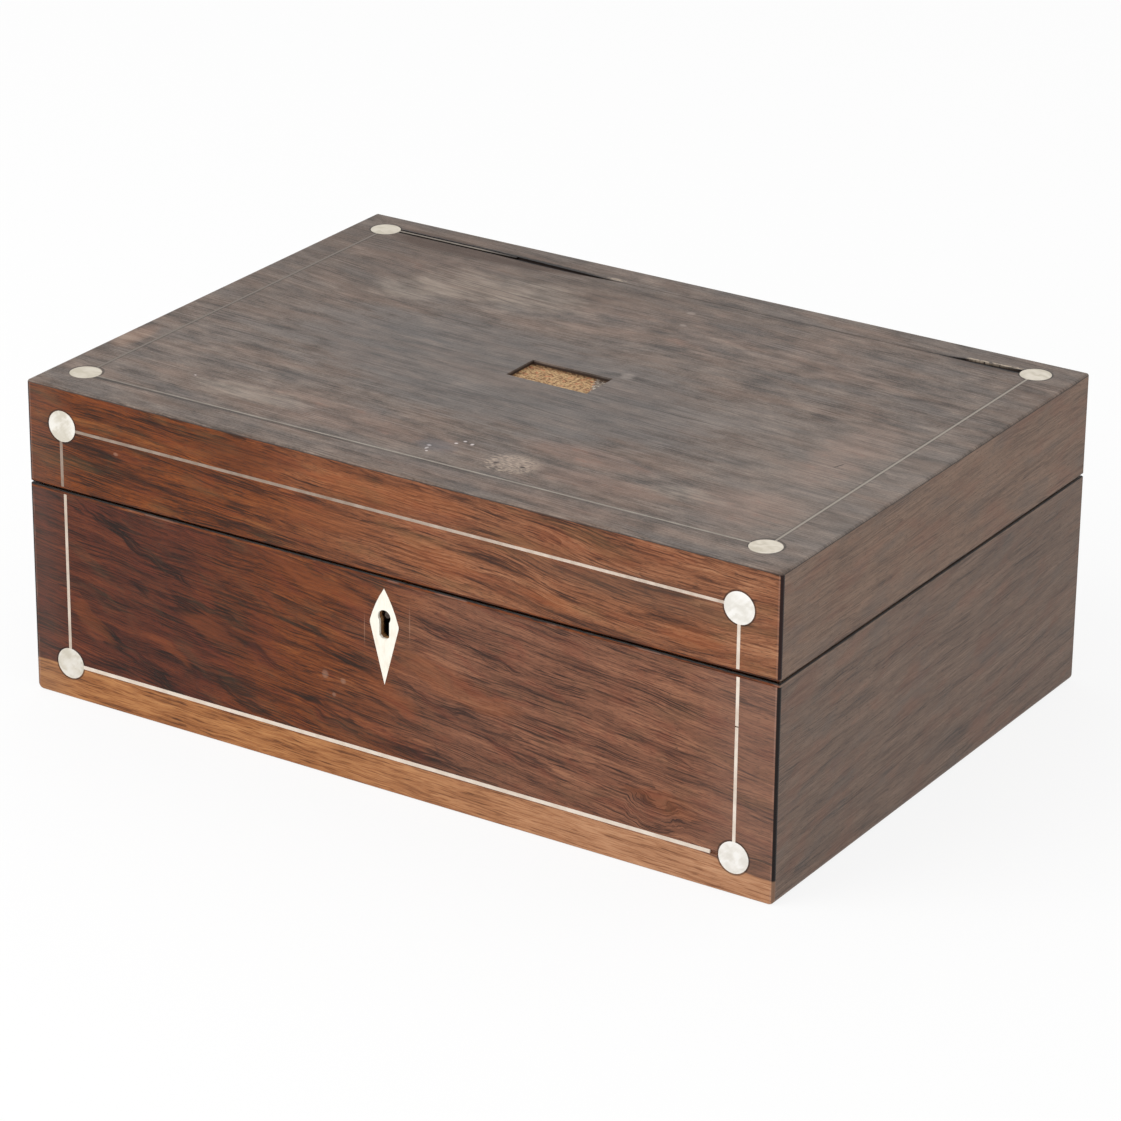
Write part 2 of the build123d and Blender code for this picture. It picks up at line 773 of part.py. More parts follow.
with BuildSketch() as base_uprights:
    for x, z in base_discs_at:
        strip((x - string_width / 2, x + string_width / 2), (z, base_board_top))
    add(base_disc_outlines.sketch, mode=Mode.SUBTRACT)

with BuildSketch() as foot_line:
    strip(
        (base_discs_at[0][0], base_discs_at[1][0]),
        (foot_string_height - foot_string_width / 2, foot_string_height + foot_string_width / 2),
    )
    add(base_disc_outlines.sketch, mode=Mode.SUBTRACT)

with BuildSketch() as lid_disc_outlines:
    with Locations(*lid_discs_at):
        Circle(disc_radius)

with BuildSketch() as lid_uprights:
    for x, z in ((left_x + lid_upright_inset_left, lid_discs_at[0][1]), lid_discs_at[1]):
        strip((x - string_width / 2, x + string_width / 2), (lid_board_bottom, z))
    add(lid_disc_outlines.sketch, mode=Mode.SUBTRACT)

with BuildSketch() as lid_line:
    strip(
        (lid_discs_at[0][0], lid_discs_at[1][0]),
        (height - lid_string_drop - lid_string_width / 2, height - lid_string_drop + lid_string_width / 2),
    )
    add(lid_disc_outlines.sketch, mode=Mode.SUBTRACT)

# a kite with bowed upper sides and rounded shoulders
with BuildSketch() as escutcheon_outline:
    with BuildLine():
        top = Vector(lock_x, escutcheon_top)
        foot = Vector(lock_x, escutcheon_top - escutcheon_height)
        right = Vector(lock_x + escutcheon_width / 2, escutcheon_top - escutcheon_shoulder)
        left = Vector(lock_x - escutcheon_width / 2, escutcheon_top - escutcheon_shoulder)
        bow = Vector(escutcheon_bow, escutcheon_bow / 2)
        ThreePointArc(top, (top + right) * 0.5 + bow, right)
        Line(right, foot)
        Line(foot, left)
        ThreePointArc(left, (top + left) * 0.5 + Vector(-bow.X, bow.Y), top)
    make_face()
    shoulders = escutcheon_outline.vertices().sort_by(Axis.X)
    fillet([shoulders[0], shoulders[-1]], radius=escutcheon_rounding)

with BuildPart() as front_veneer:
    add(board((left_x, right_x), (front_y, carcass_front), (0, base_board_top)))
    with BuildSketch(front_plane):
        add(base_uprights.sketch)
        add(foot_line.sketch)
    extrude(amount=-groove_depth, mode=Mode.SUBTRACT)
    with BuildSketch(front_plane):
        add(base_disc_outlines.sketch)
    extrude(amount=-disc_depth, mode=Mode.SUBTRACT)
    with BuildSketch(front_plane):
        add(escutcheon_outline.sketch)
    extrude(amount=-escutcheon_depth, mode=Mode.SUBTRACT)
    add(keyway.part, mode=Mode.SUBTRACT)
    add(base_form, mode=Mode.INTERSECT)
finish(front_veneer, "front_veneer")

with BuildPart() as lid_front_veneer:
    add(board((left_x, right_x), (front_y, carcass_front), (lid_board_bottom, veneer_top)))
    with BuildSketch(front_plane):
        add(lid_uprights.sketch)
        add(lid_line.sketch)
    extrude(amount=-groove_depth, mode=Mode.SUBTRACT)
    with BuildSketch(front_plane):
        add(lid_disc_outlines.sketch)
    extrude(amount=-disc_depth, mode=Mode.SUBTRACT)
    add(lid_form, mode=Mode.INTERSECT)
finish(lid_front_veneer, "lid_front_veneer")

with BuildPart() as base_discs:
    with BuildSketch(front_plane):
        add(base_disc_outlines.sketch)
    extrude(amount=-disc_depth)
finish(base_discs, "base_discs")

with BuildPart() as lid_discs:
    with BuildSketch(front_plane):
        add(lid_disc_outlines.sketch)
    extrude(amount=-disc_depth)
finish(lid_discs, "lid_discs")

with BuildPart() as base_upright_strings:
    with BuildSketch(front_plane):
        add(base_uprights.sketch)
        strip(
            (base_discs_at[1][0] - string_width, base_discs_at[1][0] + string_width),
            (upright_break_height, upright_break_height + upright_break),
            mode=Mode.SUBTRACT,
        )
    extrude(amount=-groove_depth)
finish(base_upright_strings, "base_upright_strings")

with BuildPart() as foot_string:
    with BuildSketch(front_plane):
        add(foot_line.sketch)
        lost_from = base_discs_at[1][0] - disc_radius - foot_string_loss
        strip((lost_from, base_discs_at[1][0]), (0, 2 * foot_string_height), mode=Mode.SUBTRACT)
    extrude(amount=-groove_depth)
finish(foot_string, "foot_string")

with BuildPart() as lid_upright_strings:
    with BuildSketch(front_plane):
        add(lid_uprights.sketch)
    extrude(amount=-groove_depth)
finish(lid_upright_strings, "lid_upright_strings")

with BuildPart() as lid_front_string:
    with BuildSketch(front_plane):
        add(lid_line.sketch)
    extrude(amount=-groove_depth)
finish(lid_front_string, "lid_front_string")

with BuildPart() as escutcheon:
    with BuildSketch(front_plane):
        add(escutcheon_outline.sketch)
        add(keyhole(), mode=Mode.SUBTRACT)
    extrude(amount=-escutcheon_depth)
finish(escutcheon, "escutcheon")


# ================================================================ veneers of the sides and back
# The sides run past the end of the back veneer, and the front veneer covers their front ends.
for prefix, form, low, high in (
    ("", base_form, 0, base_board_top),
    ("lid_", lid_form, lid_board_bottom, veneer_top),
):
    for side, x_range in (("left", (left_x, carcass_left)), ("right", (carcass_right, right_x))):
        with BuildPart() as side_veneer:
            add(board(x_range, (carcass_front, back_y), (low, high)))
            add(form, mode=Mode.INTERSECT)
        finish(side_veneer, f"{prefix}{side}_veneer")
    with BuildPart() as back_veneer:
        add(board((carcass_left, carcass_right), (carcass_back, back_y), (low, high)))
        add(form, mode=Mode.INTERSECT)
        add(lid_hinge_seat if prefix else base_hinge_seat, mode=Mode.SUBTRACT)
    finish(back_veneer, f"{prefix}back_veneer")


# ================================================================ the top
# A centre panel framed by lines of inlay and four mitred bands, all one veneer thick.
line_left = left_x + band_left
line_right = right_x - band_right
line_front = front_y + band_front
seam_back = back_y - band_back
top_plane = Plane.XY.offset(veneer_top)

top_discs_at = (
    (left_x + back_left_disc[0], back_y - back_left_disc[1]),
    (right_x - back_right_disc[0], back_y - back_right_disc[1]),
    (left_x + front_left_disc[0], front_y + front_left_disc[1]),
    (right_x - front_right_disc[0], front_y + front_right_disc[1]),
)

with BuildSketch() as top_disc_outlines:
    with Locations(*top_discs_at):
        Circle(top_disc_radius)

with BuildSketch() as top_lines:
    half = top_string_width / 2
    strip((line_left - half, line_left + half), (line_front, seam_back))
    strip((line_right - half, line_right + half), (line_front, seam_back))
    strip((line_left, line_right), (line_front - half, line_front + half))
    add(top_disc_outlines.sketch, mode=Mode.SUBTRACT)

# Along the back the line is mostly lost, and the two veneers stand apart at both ends.
with BuildSketch() as back_gap:
    with BuildLine():
        lip = [(left_x + x, seam_back + hairline / 2 + gap) for x, gap in band_shrinkage]
        edge = [(left_x + x, seam_back - hairline / 2 - gap) for x, gap in panel_shrinkage]
        Polyline(*lip, *reversed(edge), close=True)
    make_face()

with BuildSketch() as back_line_rest:
    line_end = top_discs_at[0][0] + top_disc_radius + back_string_rest
    line_y = back_y - back_string_inset
    strip((top_discs_at[0][0], line_end), (line_y - back_string_width / 2, line_y + back_string_width / 2))
    add(top_disc_outlines.sketch, mode=Mode.SUBTRACT)

with BuildPart() as top_panel:
    with BuildSketch(top_plane):
        strip((line_left, line_right), (line_front, seam_back))
        add(top_lines.sketch, mode=Mode.SUBTRACT)
        add(top_disc_outlines.sketch, mode=Mode.SUBTRACT)
        add(back_gap.sketch, mode=Mode.SUBTRACT)
    extrude(amount=top_veneer_thickness)
    add(plate_recess.part, mode=Mode.SUBTRACT)
finish(top_panel, "top_panel")

line_corners = {
    "front_left": (line_left, line_front),
    "front_right": (line_right, line_front),
    "back_right": (line_right, seam_back),
    "back_left": (line_left, seam_back),
}
band_joints = {"left": left_joints, "right": right_joints, "front": (), "back": ()}

for side, (start, end) in rim_sides.items():
    outline = (outer_corners[start], outer_corners[end], line_corners[end], line_corners[start])
    with BuildPart() as top_band:
        with BuildSketch(top_plane):
            with BuildLine():
                Polyline(*outline, close=True)
            make_face()
            add(top_lines.sketch, mode=Mode.SUBTRACT)
            add(top_disc_outlines.sketch, mode=Mode.SUBTRACT)
            add(back_gap.sketch, mode=Mode.SUBTRACT)
            # crossbanding is laid in short blocks
            for inset in band_joints[side]:
                joint_y = (back_y - inset - veneer_joint / 2, back_y - inset + veneer_joint / 2)
                strip((left_x, right_x), joint_y, mode=Mode.SUBTRACT)
        extrude(amount=top_veneer_thickness)
        add(lid_form, mode=Mode.INTERSECT)
    finish(top_band, f"top_{side}_band")

with BuildPart() as top_strings:
    with BuildSketch(top_plane):
        add(top_lines.sketch)
    extrude(amount=top_veneer_thickness)
finish(top_strings, "top_strings")

with BuildPart() as top_back_string:
    with BuildSketch(top_plane):
        add(back_line_rest.sketch)
    extrude(amount=top_veneer_thickness)
finish(top_back_string, "top_back_string")

with BuildPart() as top_discs:
    with BuildSketch(top_plane):
        add(top_disc_outlines.sketch)
    extrude(amount=top_veneer_thickness)
finish(top_discs, "top_discs")


# ================================================================ linings
lining_top = seam_height - lining_drop
walls_from = bottom_thickness + floor_lining_thickness

with BuildPart() as floor_lining:
    add(board((inner_left, inner_right), (inner_front, inner_back), (bottom_thickness, walls_from)))
finish(floor_lining, "floor_lining")

with BuildPart() as front_lining:
    with BuildSketch(Plane.XZ.offset(-inner_front)):
        strip((inner_left, inner_right), (walls_from, lining_top))
        window_x = (lock_x - selvage_length / 2 - lock_window, lock_x + selvage_length / 2 + lock_window)
        strip(window_x, (plate_bottom - lock_window, seam_height), mode=Mode.SUBTRACT)
    extrude(amount=-lining_thickness)
finish(front_lining, "front_lining")

with BuildPart() as back_lining:
    with BuildSketch(Plane.XZ.offset(-inner_back)):
        strip((inner_left, inner_right), (walls_from, lining_top))
    extrude(amount=lining_thickness)
finish(back_lining, "back_lining")

side_lining_y = (inner_front + lining_thickness + lining_joint, inner_back - lining_thickness - lining_joint)

with BuildPart() as side_linings:
    add(board((inner_left, inner_left + lining_thickness), side_lining_y, (walls_from, lining_top)))
    add(board((inner_right - lining_thickness, inner_right), side_lining_y, (walls_from, lining_top)))
finish(side_linings, "side_linings")

with BuildPart() as lid_linings:
    lining_z = (lid_bottom + lining_drop, lid_board_top)
    add(board((inner_left, inner_right), (inner_front, inner_front + lining_thickness), lining_z))
    add(board((inner_left, inner_right), (inner_back - lining_thickness, inner_back), lining_z))
    add(board((inner_left, inner_left + lining_thickness), side_lining_y, lining_z))
    add(board((inner_right - lining_thickness, inner_right), side_lining_y, lining_z))
finish(lid_linings, "lid_linings")

with BuildPart() as lid_pad:
    margin = lining_thickness + pad_clearance
    with BuildSketch(Plane.XY.offset(lid_board_top)):
        strip((inner_left + margin, inner_right - margin), (inner_front + margin, inner_back - margin))
    extrude(amount=-pad_thickness)
finish(lid_pad, "lid_pad")
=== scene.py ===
import math
import bmesh
import bpy
from mathutils import Matrix, Vector


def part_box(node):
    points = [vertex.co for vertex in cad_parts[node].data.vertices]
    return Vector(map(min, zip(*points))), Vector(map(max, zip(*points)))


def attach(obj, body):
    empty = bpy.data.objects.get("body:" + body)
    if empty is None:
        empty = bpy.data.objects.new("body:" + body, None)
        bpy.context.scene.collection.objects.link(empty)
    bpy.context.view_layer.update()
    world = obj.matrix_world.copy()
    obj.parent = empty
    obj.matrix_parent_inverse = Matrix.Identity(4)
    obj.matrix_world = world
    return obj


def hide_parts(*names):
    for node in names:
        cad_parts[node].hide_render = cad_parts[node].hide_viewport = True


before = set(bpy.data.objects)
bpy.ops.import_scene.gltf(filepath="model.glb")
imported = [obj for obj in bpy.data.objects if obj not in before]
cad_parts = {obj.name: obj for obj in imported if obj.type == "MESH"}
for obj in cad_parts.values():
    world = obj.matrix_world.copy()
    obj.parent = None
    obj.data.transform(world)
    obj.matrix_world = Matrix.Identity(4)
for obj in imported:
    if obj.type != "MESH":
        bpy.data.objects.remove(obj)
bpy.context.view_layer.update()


# ---------------------------------------------------------------- carcass
# Boards of pine gone brown with age, dovetailed at the corners, with the bottom held by brads. Veneer
# and linings hide them but for the underside and the walls of the keyhole.
X, Y, Z = range(3)


class Shade:
    """One value in a finish. Arithmetic on values adds Math nodes, and node() adds any other node."""

    def __init__(self, tree, socket):
        self.tree = tree
        self.socket = socket

    def node(self, kind, inputs, output=0, stops=(), **settings):
        made = self.tree.nodes.new("ShaderNode" + kind)
        for setting, value in settings.items():
            setattr(made, setting, value)
        for extra in range(len(stops) - 2):
            made.color_ramp.elements.new(1.0)
        for element, (place, colour) in zip(made.color_ramp.elements if stops else (), stops):
            element.position = place
            element.color = colour
        for place, value in inputs.items():
            if isinstance(value, Shade):
                self.tree.links.new(value.socket, made.inputs[place])
            else:
                made.inputs[place].default_value = value
        return Shade(self.tree, made.outputs[output])

    def math(self, operation, first, second):
        return self.node("Math", {0: first, 1: second}, operation=operation)

    def __add__(self, other):
        return self.math("ADD", self, other)

    def __radd__(self, other):
        return self.math("ADD", other, self)

    def __sub__(self, other):
        return self.math("SUBTRACT", self, other)

    def __rsub__(self, other):
        return self.math("SUBTRACT", other, self)

    def __mul__(self, other):
        return self.math("MULTIPLY", self, other)

    def __rmul__(self, other):
        return self.math("MULTIPLY", other, self)

    def __truediv__(self, other):
        return self.math("DIVIDE", self, other)

    def __pow__(self, other):
        return self.math("POWER", self, other)

    def __abs__(self):
        return self.math("ABSOLUTE", self, 0.0)


def paint(red, green, blue):
    """A colour as the eye sees it, 0 to 255, made linear."""
    return (*(((c / 255 + 0.055) / 1.055) ** 2.4 for c in (red, green, blue)), 1.0)


def start_finish(name):
    """A new finish, and the x, y and z of its places, in millimetres from the centre of the underside."""
    material = bpy.data.materials.new(name)
    material.use_nodes = True
    material.node_tree.nodes.clear()
    place = Shade(material.node_tree, None)
    metres = place.node("TexCoord", {}, output="Object")
    scaled = place.node("VectorMath", {"Vector": metres, "Scale": 1000.0}, operation="SCALE")
    return material, [place.node("SeparateXYZ", {0: scaled}, output=axis) for axis in (X, Y, Z)]


def close_finish(material, colour, roughness, height=None, depth=0.1, **constant):
    """Feeds a finish into its shader. height is 0 to 1, and depth its full height in millimetres."""
    tree = material.node_tree
    shader = tree.nodes.new("ShaderNodeBsdfPrincipled")
    for socket, value in {"Base Color": colour, "Roughness": roughness, **constant}.items():
        if isinstance(value, Shade):
            tree.links.new(value.socket, shader.inputs[socket])
        else:
            shader.inputs[socket].default_value = value
    if height:
        bump = height.node("Bump", {"Strength": 1.0, "Distance": depth / 1000, "Height": height})
        tree.links.new(bump.socket, shader.inputs["Normal"])
    out = tree.nodes.new("ShaderNodeOutputMaterial")
    tree.links.new(shader.outputs[0], out.inputs[0])
    return material


def dress(material, *nodes):
    """Gives carried-over pieces their finish."""
    for name in nodes:
        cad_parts[name].data.materials.clear()
        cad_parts[name].data.materials.append(material)


def fade(value, low, high, to_low=0.0, to_high=1.0):
    """Goes smoothly from to_low to to_high while the value goes from low to high."""
    sockets = {"Value": value, "From Min": low, "From Max": high, "To Min": to_low, "To Max": to_high}
    return value.node("MapRange", sockets, interpolation_type="SMOOTHSTEP")


def ramp(value, *stops):
    """Turns a value from 0 to 1 into a colour."""
    return value.node("ValToRGB", {0: value}, stops=stops)


def streaks(along, across, length, width, seed, detail=3.0):
    """Noise drawn out along the grain, its streaks about so long and so wide in millimetres."""
    stretched = along.node("CombineXYZ", {0: along / length, 1: across / width, 2: seed})
    sockets = {"Vector": stretched, "Scale": 1.0, "Detail": detail, "Roughness": 0.6}
    return along.node("TexNoise", sockets)


def pine(name, along, across, seed):
    """A board whose grain runs along one axis, its growth rings spaced across another."""
    material, place = start_finish(name)
    s, t = place[along], place[across]
    growth = streaks(s, t, 120, 3.2, seed)
    fibres = streaks(s, t, 12, 0.35, seed + 1, 2)
    tone = fade(growth * 0.7 + fibres * 0.3, 0.35, 0.65)
    colour = ramp(tone, (0.0, paint(118, 82, 50)), (0.5, paint(150, 112, 72)), (1.0, paint(172, 134, 90)))
    return close_finish(material, colour, 0.7, fibres, 0.15)


long_boards = ("front_board", "back_board", "lid_front_board", "lid_back_board")
short_boards = ("left_board", "right_board", "lid_left_board", "lid_right_board")
dress(pine("pine_lengthways", X, Z, 4.0), *long_boards)
dress(pine("pine_sideways", Y, Z, 8.0), *short_boards)
dress(pine("pine_flat", X, Y, 6.0), "bottom_board")


# ---------------------------------------------------------------- top board
# The lid's top board shows in two places: clean, freckled wood on the floor of the recess, where the
# name plate lay, and black, with dirt and painted shade, in the gap along the back.
def fading(value, start, end):
    """1 up to the start, and smoothly down to 0 at the end."""
    return fade(value, start, end, 1.0, 0.0)


def tint(share, under, over):
    """Lays one colour over another."""
    return share.node("Mix", {0: share, 6: under, 7: over}, output=2, data_type="RGBA")


recess_width = 32.8
recess_depth = 17.0
recess_forward = 1.0
floor_height, wall_height = 114.75, 115.1
margin = 0.5

material, (x, y, z) = start_finish("top_board_pine")
freckles = streaks(x, y, 1.1, 0.8, 3.0, 4)
blotches = streaks(x, y, 5.0, 3.0, 5.0, 3)
bare = ramp(
    fade(freckles * 0.75 + blotches * 0.25, 0.36, 0.62),
    (0.0, paint(96, 66, 40)),
    (0.3, paint(142, 106, 72)),
    (0.62, paint(180, 145, 102)),
    (1.0, paint(204, 172, 128)),
)
reddish = fade(streaks(x, y, 2.4, 1.6, 9.0), 0.56, 0.66)
bare = tint(reddish * 0.6, bare, paint(200, 112, 80))
# the right end is left ragged and grey, up to an edge that runs at a slant
slant = x + (y + recess_depth / 2) * 0.4
ragged = fade(slant + (freckles - 0.5) * 5, recess_width / 2 - 0.8, recess_width / 2)
debris = ramp(
    fade(streaks(x, y, 1.6, 0.5, 12.0), 0.35, 0.65),
    (0.0, paint(70, 58, 50)),
    (0.6, paint(128, 112, 98)),
    (1.0, paint(206, 196, 182)),
)
bare = tint(ragged, bare, debris)
# painted shade lies along the walls of the recess, and everything outside it is black, dirt with painted
# shade
half_width = recess_width / 2 + margin
half_depth = recess_depth / 2 + margin
from_middle = abs(y + recess_forward)
in_recess = fading(abs(x), half_width, half_width + 1) * fading(from_middle, half_depth, half_depth + 1)
wall_shade = fade(from_middle, recess_depth / 2 - 1.2, recess_depth / 2) * 0.55
colour = tint(wall_shade, bare, paint(84, 58, 36))
# the walls of the recess are painted darker, as painted shade
colour = tint(fade(z, floor_height, wall_height), colour, paint(52, 36, 26))
colour = tint(in_recess, paint(8, 5, 4), colour)
dress(close_finish(material, colour, 0.85, freckles, 0.5), "lid_top_board")


# ---------------------------------------------------------------- veneer of the front
# Rosewood cut with a lively figure: hairlines of black over brown, and on the base dark clouds that
# fall away from the upper left, over a strip of orange sapwood. It is hand polished to a low shine.
def stripe(value, middle, full, none):
    """1 as far as full to each side of the middle, and 0 from none outwards."""
    return fading(abs(value - middle), full, none)


def spot(x, y, middle, reach, edge=0.0):
    """1 in the middle of an oval mark and 0 outside it. reach is half its length and half its width."""
    distance = ((x - middle[0]) / reach[0]) ** 2.0 + ((y - middle[1]) / reach[1]) ** 2.0
    return fading(distance, edge, 1.0)


def patches(x, y, places):
    """Oval marks added up, each given as (its middle, its reach, its strength)."""
    total = 0.0
    for middle, reach, strength in places:
        total = total + spot(x, y, middle, reach) * strength
    return total


def start_of(node, axis):
    """Where a carried-over piece begins along an axis, in millimetres."""
    return round(1000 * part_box(node)[0][axis], 1)


def end_of(node, axis):
    """Where it ends."""
    return round(1000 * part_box(node)[1][axis], 1)


def figure(s, t, seed, wander=5.0):
    """A sheet of rosewood: its tone from 0 in the black streaks to 1 in the pale ones, and its pores.
    Its grain runs along s, and wander is how far across t it strays, in millimetres."""
    t = t + (streaks(s, t, 60, 20, seed, 2) - 0.5) * wander + (streaks(s, t, 18, 5, seed + 1, 2) - 0.5) * 1.4
    clouds = streaks(s, t, 46, 5, seed + 2, 4)
    grown = t / 1.7 + (streaks(s, t, 75, 9, seed + 3, 2) - 0.5) * 8
    growth = fade(grown.math("FRACT", grown, 0.0), 0.4, 0.95)
    crowded = fade(streaks(s, t, 40, 6, seed + 4, 3), 0.38, 0.62, 0.2, 1.0)
    lines = fade(streaks(s, t, 26, 0.5, seed + 5, 1), 0.53, 0.62)
    hairs = fade(streaks(s, t, 9, 0.32, seed + 6, 1), 0.52, 0.62)
    fibres = streaks(s, t, 2.6, 0.5, seed + 8, 2)
    dark = growth * crowded * 0.22 + lines * crowded * 0.32 + hairs * 0.18
    pores = fade(streaks(s, t, 3.0, 0.25, seed + 7, 1), 0.58, 0.68)
    return 0.63 + (clouds - 0.5) * 0.9 + (fibres - 0.5) * 0.25 - dark, pores


def rosewood(tone, pores, colours, contrast=1.0):
    """Colours a sheet of rosewood, from its darkest streaks to its palest."""
    places = (0.0, 0.25, 0.5, 0.75, 1.0)
    wide = fade((tone - 0.5) * contrast + 0.5, 0.0, 1.0)
    colour = ramp(wide, *zip(places, (paint(*c) for c in colours)))
    return tint(pores * 0.5, colour, paint(28, 18, 15))


def marks(along, across, fall, places, rough):
    """Marks at places given as (from the left, height, half length, half width), lying along the grain.
    fall gives how far the grain has dropped there, and rough breaks their edges up."""
    dropped = [((left, height + fall(left)), (length, width), 1.0) for left, height, length, width in places]
    return fade(patches(along, across, dropped) * 0.9 + (rough - 0.5) * 1.6, 0.15, 0.95)


def glue_rings(u, v, places, radius, colour):
    """A dark line of glue and dirt round each disc."""
    for middle_u, middle_v in places:
        away = ((u - middle_u) ** 2.0 + (v - middle_v) ** 2.0) ** 0.5 - radius
        colour = tint(stripe(away, 0.2, 0.2, 0.6) * 0.62, colour, paint(28, 20, 16))
    return colour


def swirling(from_left):
    """How far the dark clouds of the base have dropped: one in two at the left, level at the right."""
    return from_left * 0.5 - from_left * from_left / 1200


def drooping(from_left):
    """The same for the lid, whose grain is almost level."""
    return from_left * 0.06


half_length = end_of("front_veneer", X)
base_top = end_of("front_facing", Z)
lid_foot = start_of("lid_front_facing", Z)
disc_radius = 5.65
base_discs_at = ((-134.8, 13.3), (134.8, 13.3))
lid_discs_at = ((-135.2, 102.3), (134.6, 101.0))
dark_front = ((30, 16, 10), (50, 24, 15), (76, 35, 21), (98, 47, 27), (124, 68, 38))
warm_front = ((38, 21, 10), (66, 32, 13), (97, 47, 19), (122, 63, 27), (152, 91, 46))
pale_front = ((52, 33, 26), (82, 52, 40), (113, 73, 54), (134, 88, 66), (162, 113, 84))
dark_lid = ((38, 19, 8), (66, 32, 12), (99, 48, 16), (125, 63, 22), (157, 94, 43))
pale_lid = ((58, 34, 24), (90, 54, 36), (124, 76, 50), (148, 96, 66), (178, 127, 92))
low_shine = {"Specular IOR Level": 0.2}


def rubbed_corner_highlight(x):
    """The polish is rubbed off beside both ends of the front, where a painted highlight lies along the
    corner.
    """
    outwards = abs(x)
    outer = fading(outwards, half_length - 1.1, half_length - 0.9)
    return fade(outwards, half_length - 1.6, half_length - 1.2) * outer


def sawn_end_and_shade(x):
    """Beyond the rubbed corners the sawn ends of the sheet show, dark with end grain and painted shade."""
    return fade(abs(x), half_length - 0.95, half_length - 0.75)


# the base: its figure, which bends round a knot near the right, and its dark clouds and glowing patches
material, (x, y, z) = start_finish("base_front_rosewood")
from_left = x + half_length
knot = spot(x + (streaks(x, z, 5, 5, 26.0, 2) - 0.5) * 9, z, (104.0, 20.0), (12.0, 9.0))
across = z + from_left * 0.10 + knot * 3.5
tone, pores = figure(x, across, 20.0)
swirl = z + swirling(from_left) + (streaks(x, z, 24, 16, 27.0, 2) - 0.5) * 12
blotches = streaks(x, swirl, 26, 2.6, 28.0, 3)
dark_clouds = (
    (38, 68, 26, 2.6), (53, 62, 24, 2.6), (66, 50, 12, 3.0), (82, 47, 24, 2.2), (98, 36, 18, 2.4),
    (46, 50, 6, 3.0), (114, 54, 26, 1.8), (132, 44, 24, 1.8), (42, 26, 26, 4.5), (52, 18, 24, 4.0),
    (90, 20, 14, 4.0), (126, 23, 20, 4.6), (157, 29, 20, 2.2), (208, 26, 24, 3.2), (267, 42, 14, 2.0),
    (256, 15, 10, 2.2), (292, 13, 9, 4.0), (182, 62, 30, 3.4), (172, 38, 26, 1.6),
)
clouded = marks(from_left, swirl, swirling, dark_clouds, blotches)
glows = (
    (25, 31, 13, 6.0), (58, 30, 13, 3.0), (75, 42, 15, 5.5), (120, 71, 34, 6.0), (150, 37, 18, 5.0),
    (178, 46, 34, 8.0), (258, 25, 20, 5.0),
)
glowing = marks(from_left, swirl, swirling, glows, blotches)
ends = fading(from_left, 3.0, 16.0) + fade(from_left, 281.0, 297.0) * 0.5
broken = fade(streaks(x, swirl, 24, 0.8, 29.0, 2), 0.40, 0.6, 0.25, 1.0)
tone = tone - clouded * broken * 0.36 + glowing * 0.08 - ends * 0.03 + fade(from_left, 180.0, 292.0) * 0.09
# its colour: dark at the left, warm in the middle and faded at the right, greyer at both ends
drift = (streaks(x, z, 55, 26, 2.0) - 0.5) * 60
colour = tint(
    fade(from_left + drift - glowing * 25, 60.0, 110.0),
    rosewood(tone, pores, dark_front),
    rosewood(tone, pores, warm_front),
)
colour = tint(fade(from_left + drift, 120.0, 185.0), colour, rosewood(tone, pores, pale_front))
colour = tint(glowing * 0.35, colour, paint(132, 70, 34))
redder = fade(streaks(x, swirl, 20, 6, 31.0, 3), 0.50, 0.68)
colour = tint(redder * 0.25, colour, paint(116, 50, 34))
colour = tint(fade(from_left, 262.0, 292.0) * 0.24, colour, paint(122, 106, 98))
colour = tint(fading(from_left, 3.0, 20.0) * 0.16, colour, paint(122, 106, 98))
browner = fade(streaks(x, swirl, 26, 8, 33.0, 3), 0.5, 0.68)
colour = tint(browner * 0.22, colour, paint(96, 74, 52))
# the darker heartwood stops at a strip of sapwood along the inlaid line, and dips below it at the right
sap_height = 12.2
sap_edge = sap_height - fade(x, 118.0, 146.0) * 3.4 + (streaks(x, z, 22, 30, 7.0) - 0.5) * 1.6
sap_across = z + x * 0.03 + (streaks(x, z, 20, 6, 40.0, 2) - 0.5) * 2
sap_clouds = streaks(x, sap_across, 24, 3, 41.0, 4)
sap_lines = fade(streaks(x, sap_across, 26, 0.7, 42.0, 1), 0.52, 0.64)
sap_hairs = fade(streaks(x, sap_across, 7, 0.4, 43.0, 1), 0.50, 0.64)
sap_tone = 0.74 + (sap_clouds - 0.5) * 1.5 - sap_lines * 0.36 - sap_hairs * 0.34
sap = ramp(sap_tone, (0.0, paint(86, 50, 27)), (0.5, paint(152, 96, 54)), (1.0, paint(188, 132, 82)))
pale_sap = ramp(sap_tone, (0.0, paint(120, 78, 52)), (0.5, paint(170, 120, 86)), (1.0, paint(196, 148, 112)))
sap = tint(fade(x, -60.0, 120.0), sap, pale_sap)
sap = tint(fading(x, -147.0, -126.0) * 0.3, sap, paint(136, 110, 90))
in_sap = fading(z - sap_edge, -0.4, 0.4)
colour = tint(in_sap, colour, sap)
# the ends of the sheet show as dark lines, end grain with painted shade, beside rubbed corners with a
# painted highlight
# a painted highlight on the rubbed corners
worn_and_lit_here = fade(streaks(z, x, 14, 9, 46.0), 0.4, 0.6)
colour = tint(rubbed_corner_highlight(x) * worn_and_lit_here * 0.4, colour, paint(168, 134, 120))
# the sawn ends: dark end grain with painted shade
end_grain_and_shade = tint(in_sap, paint(20, 11, 9), paint(128, 98, 78))
colour = tint(sawn_end_and_shade(x), colour, end_grain_and_shade)
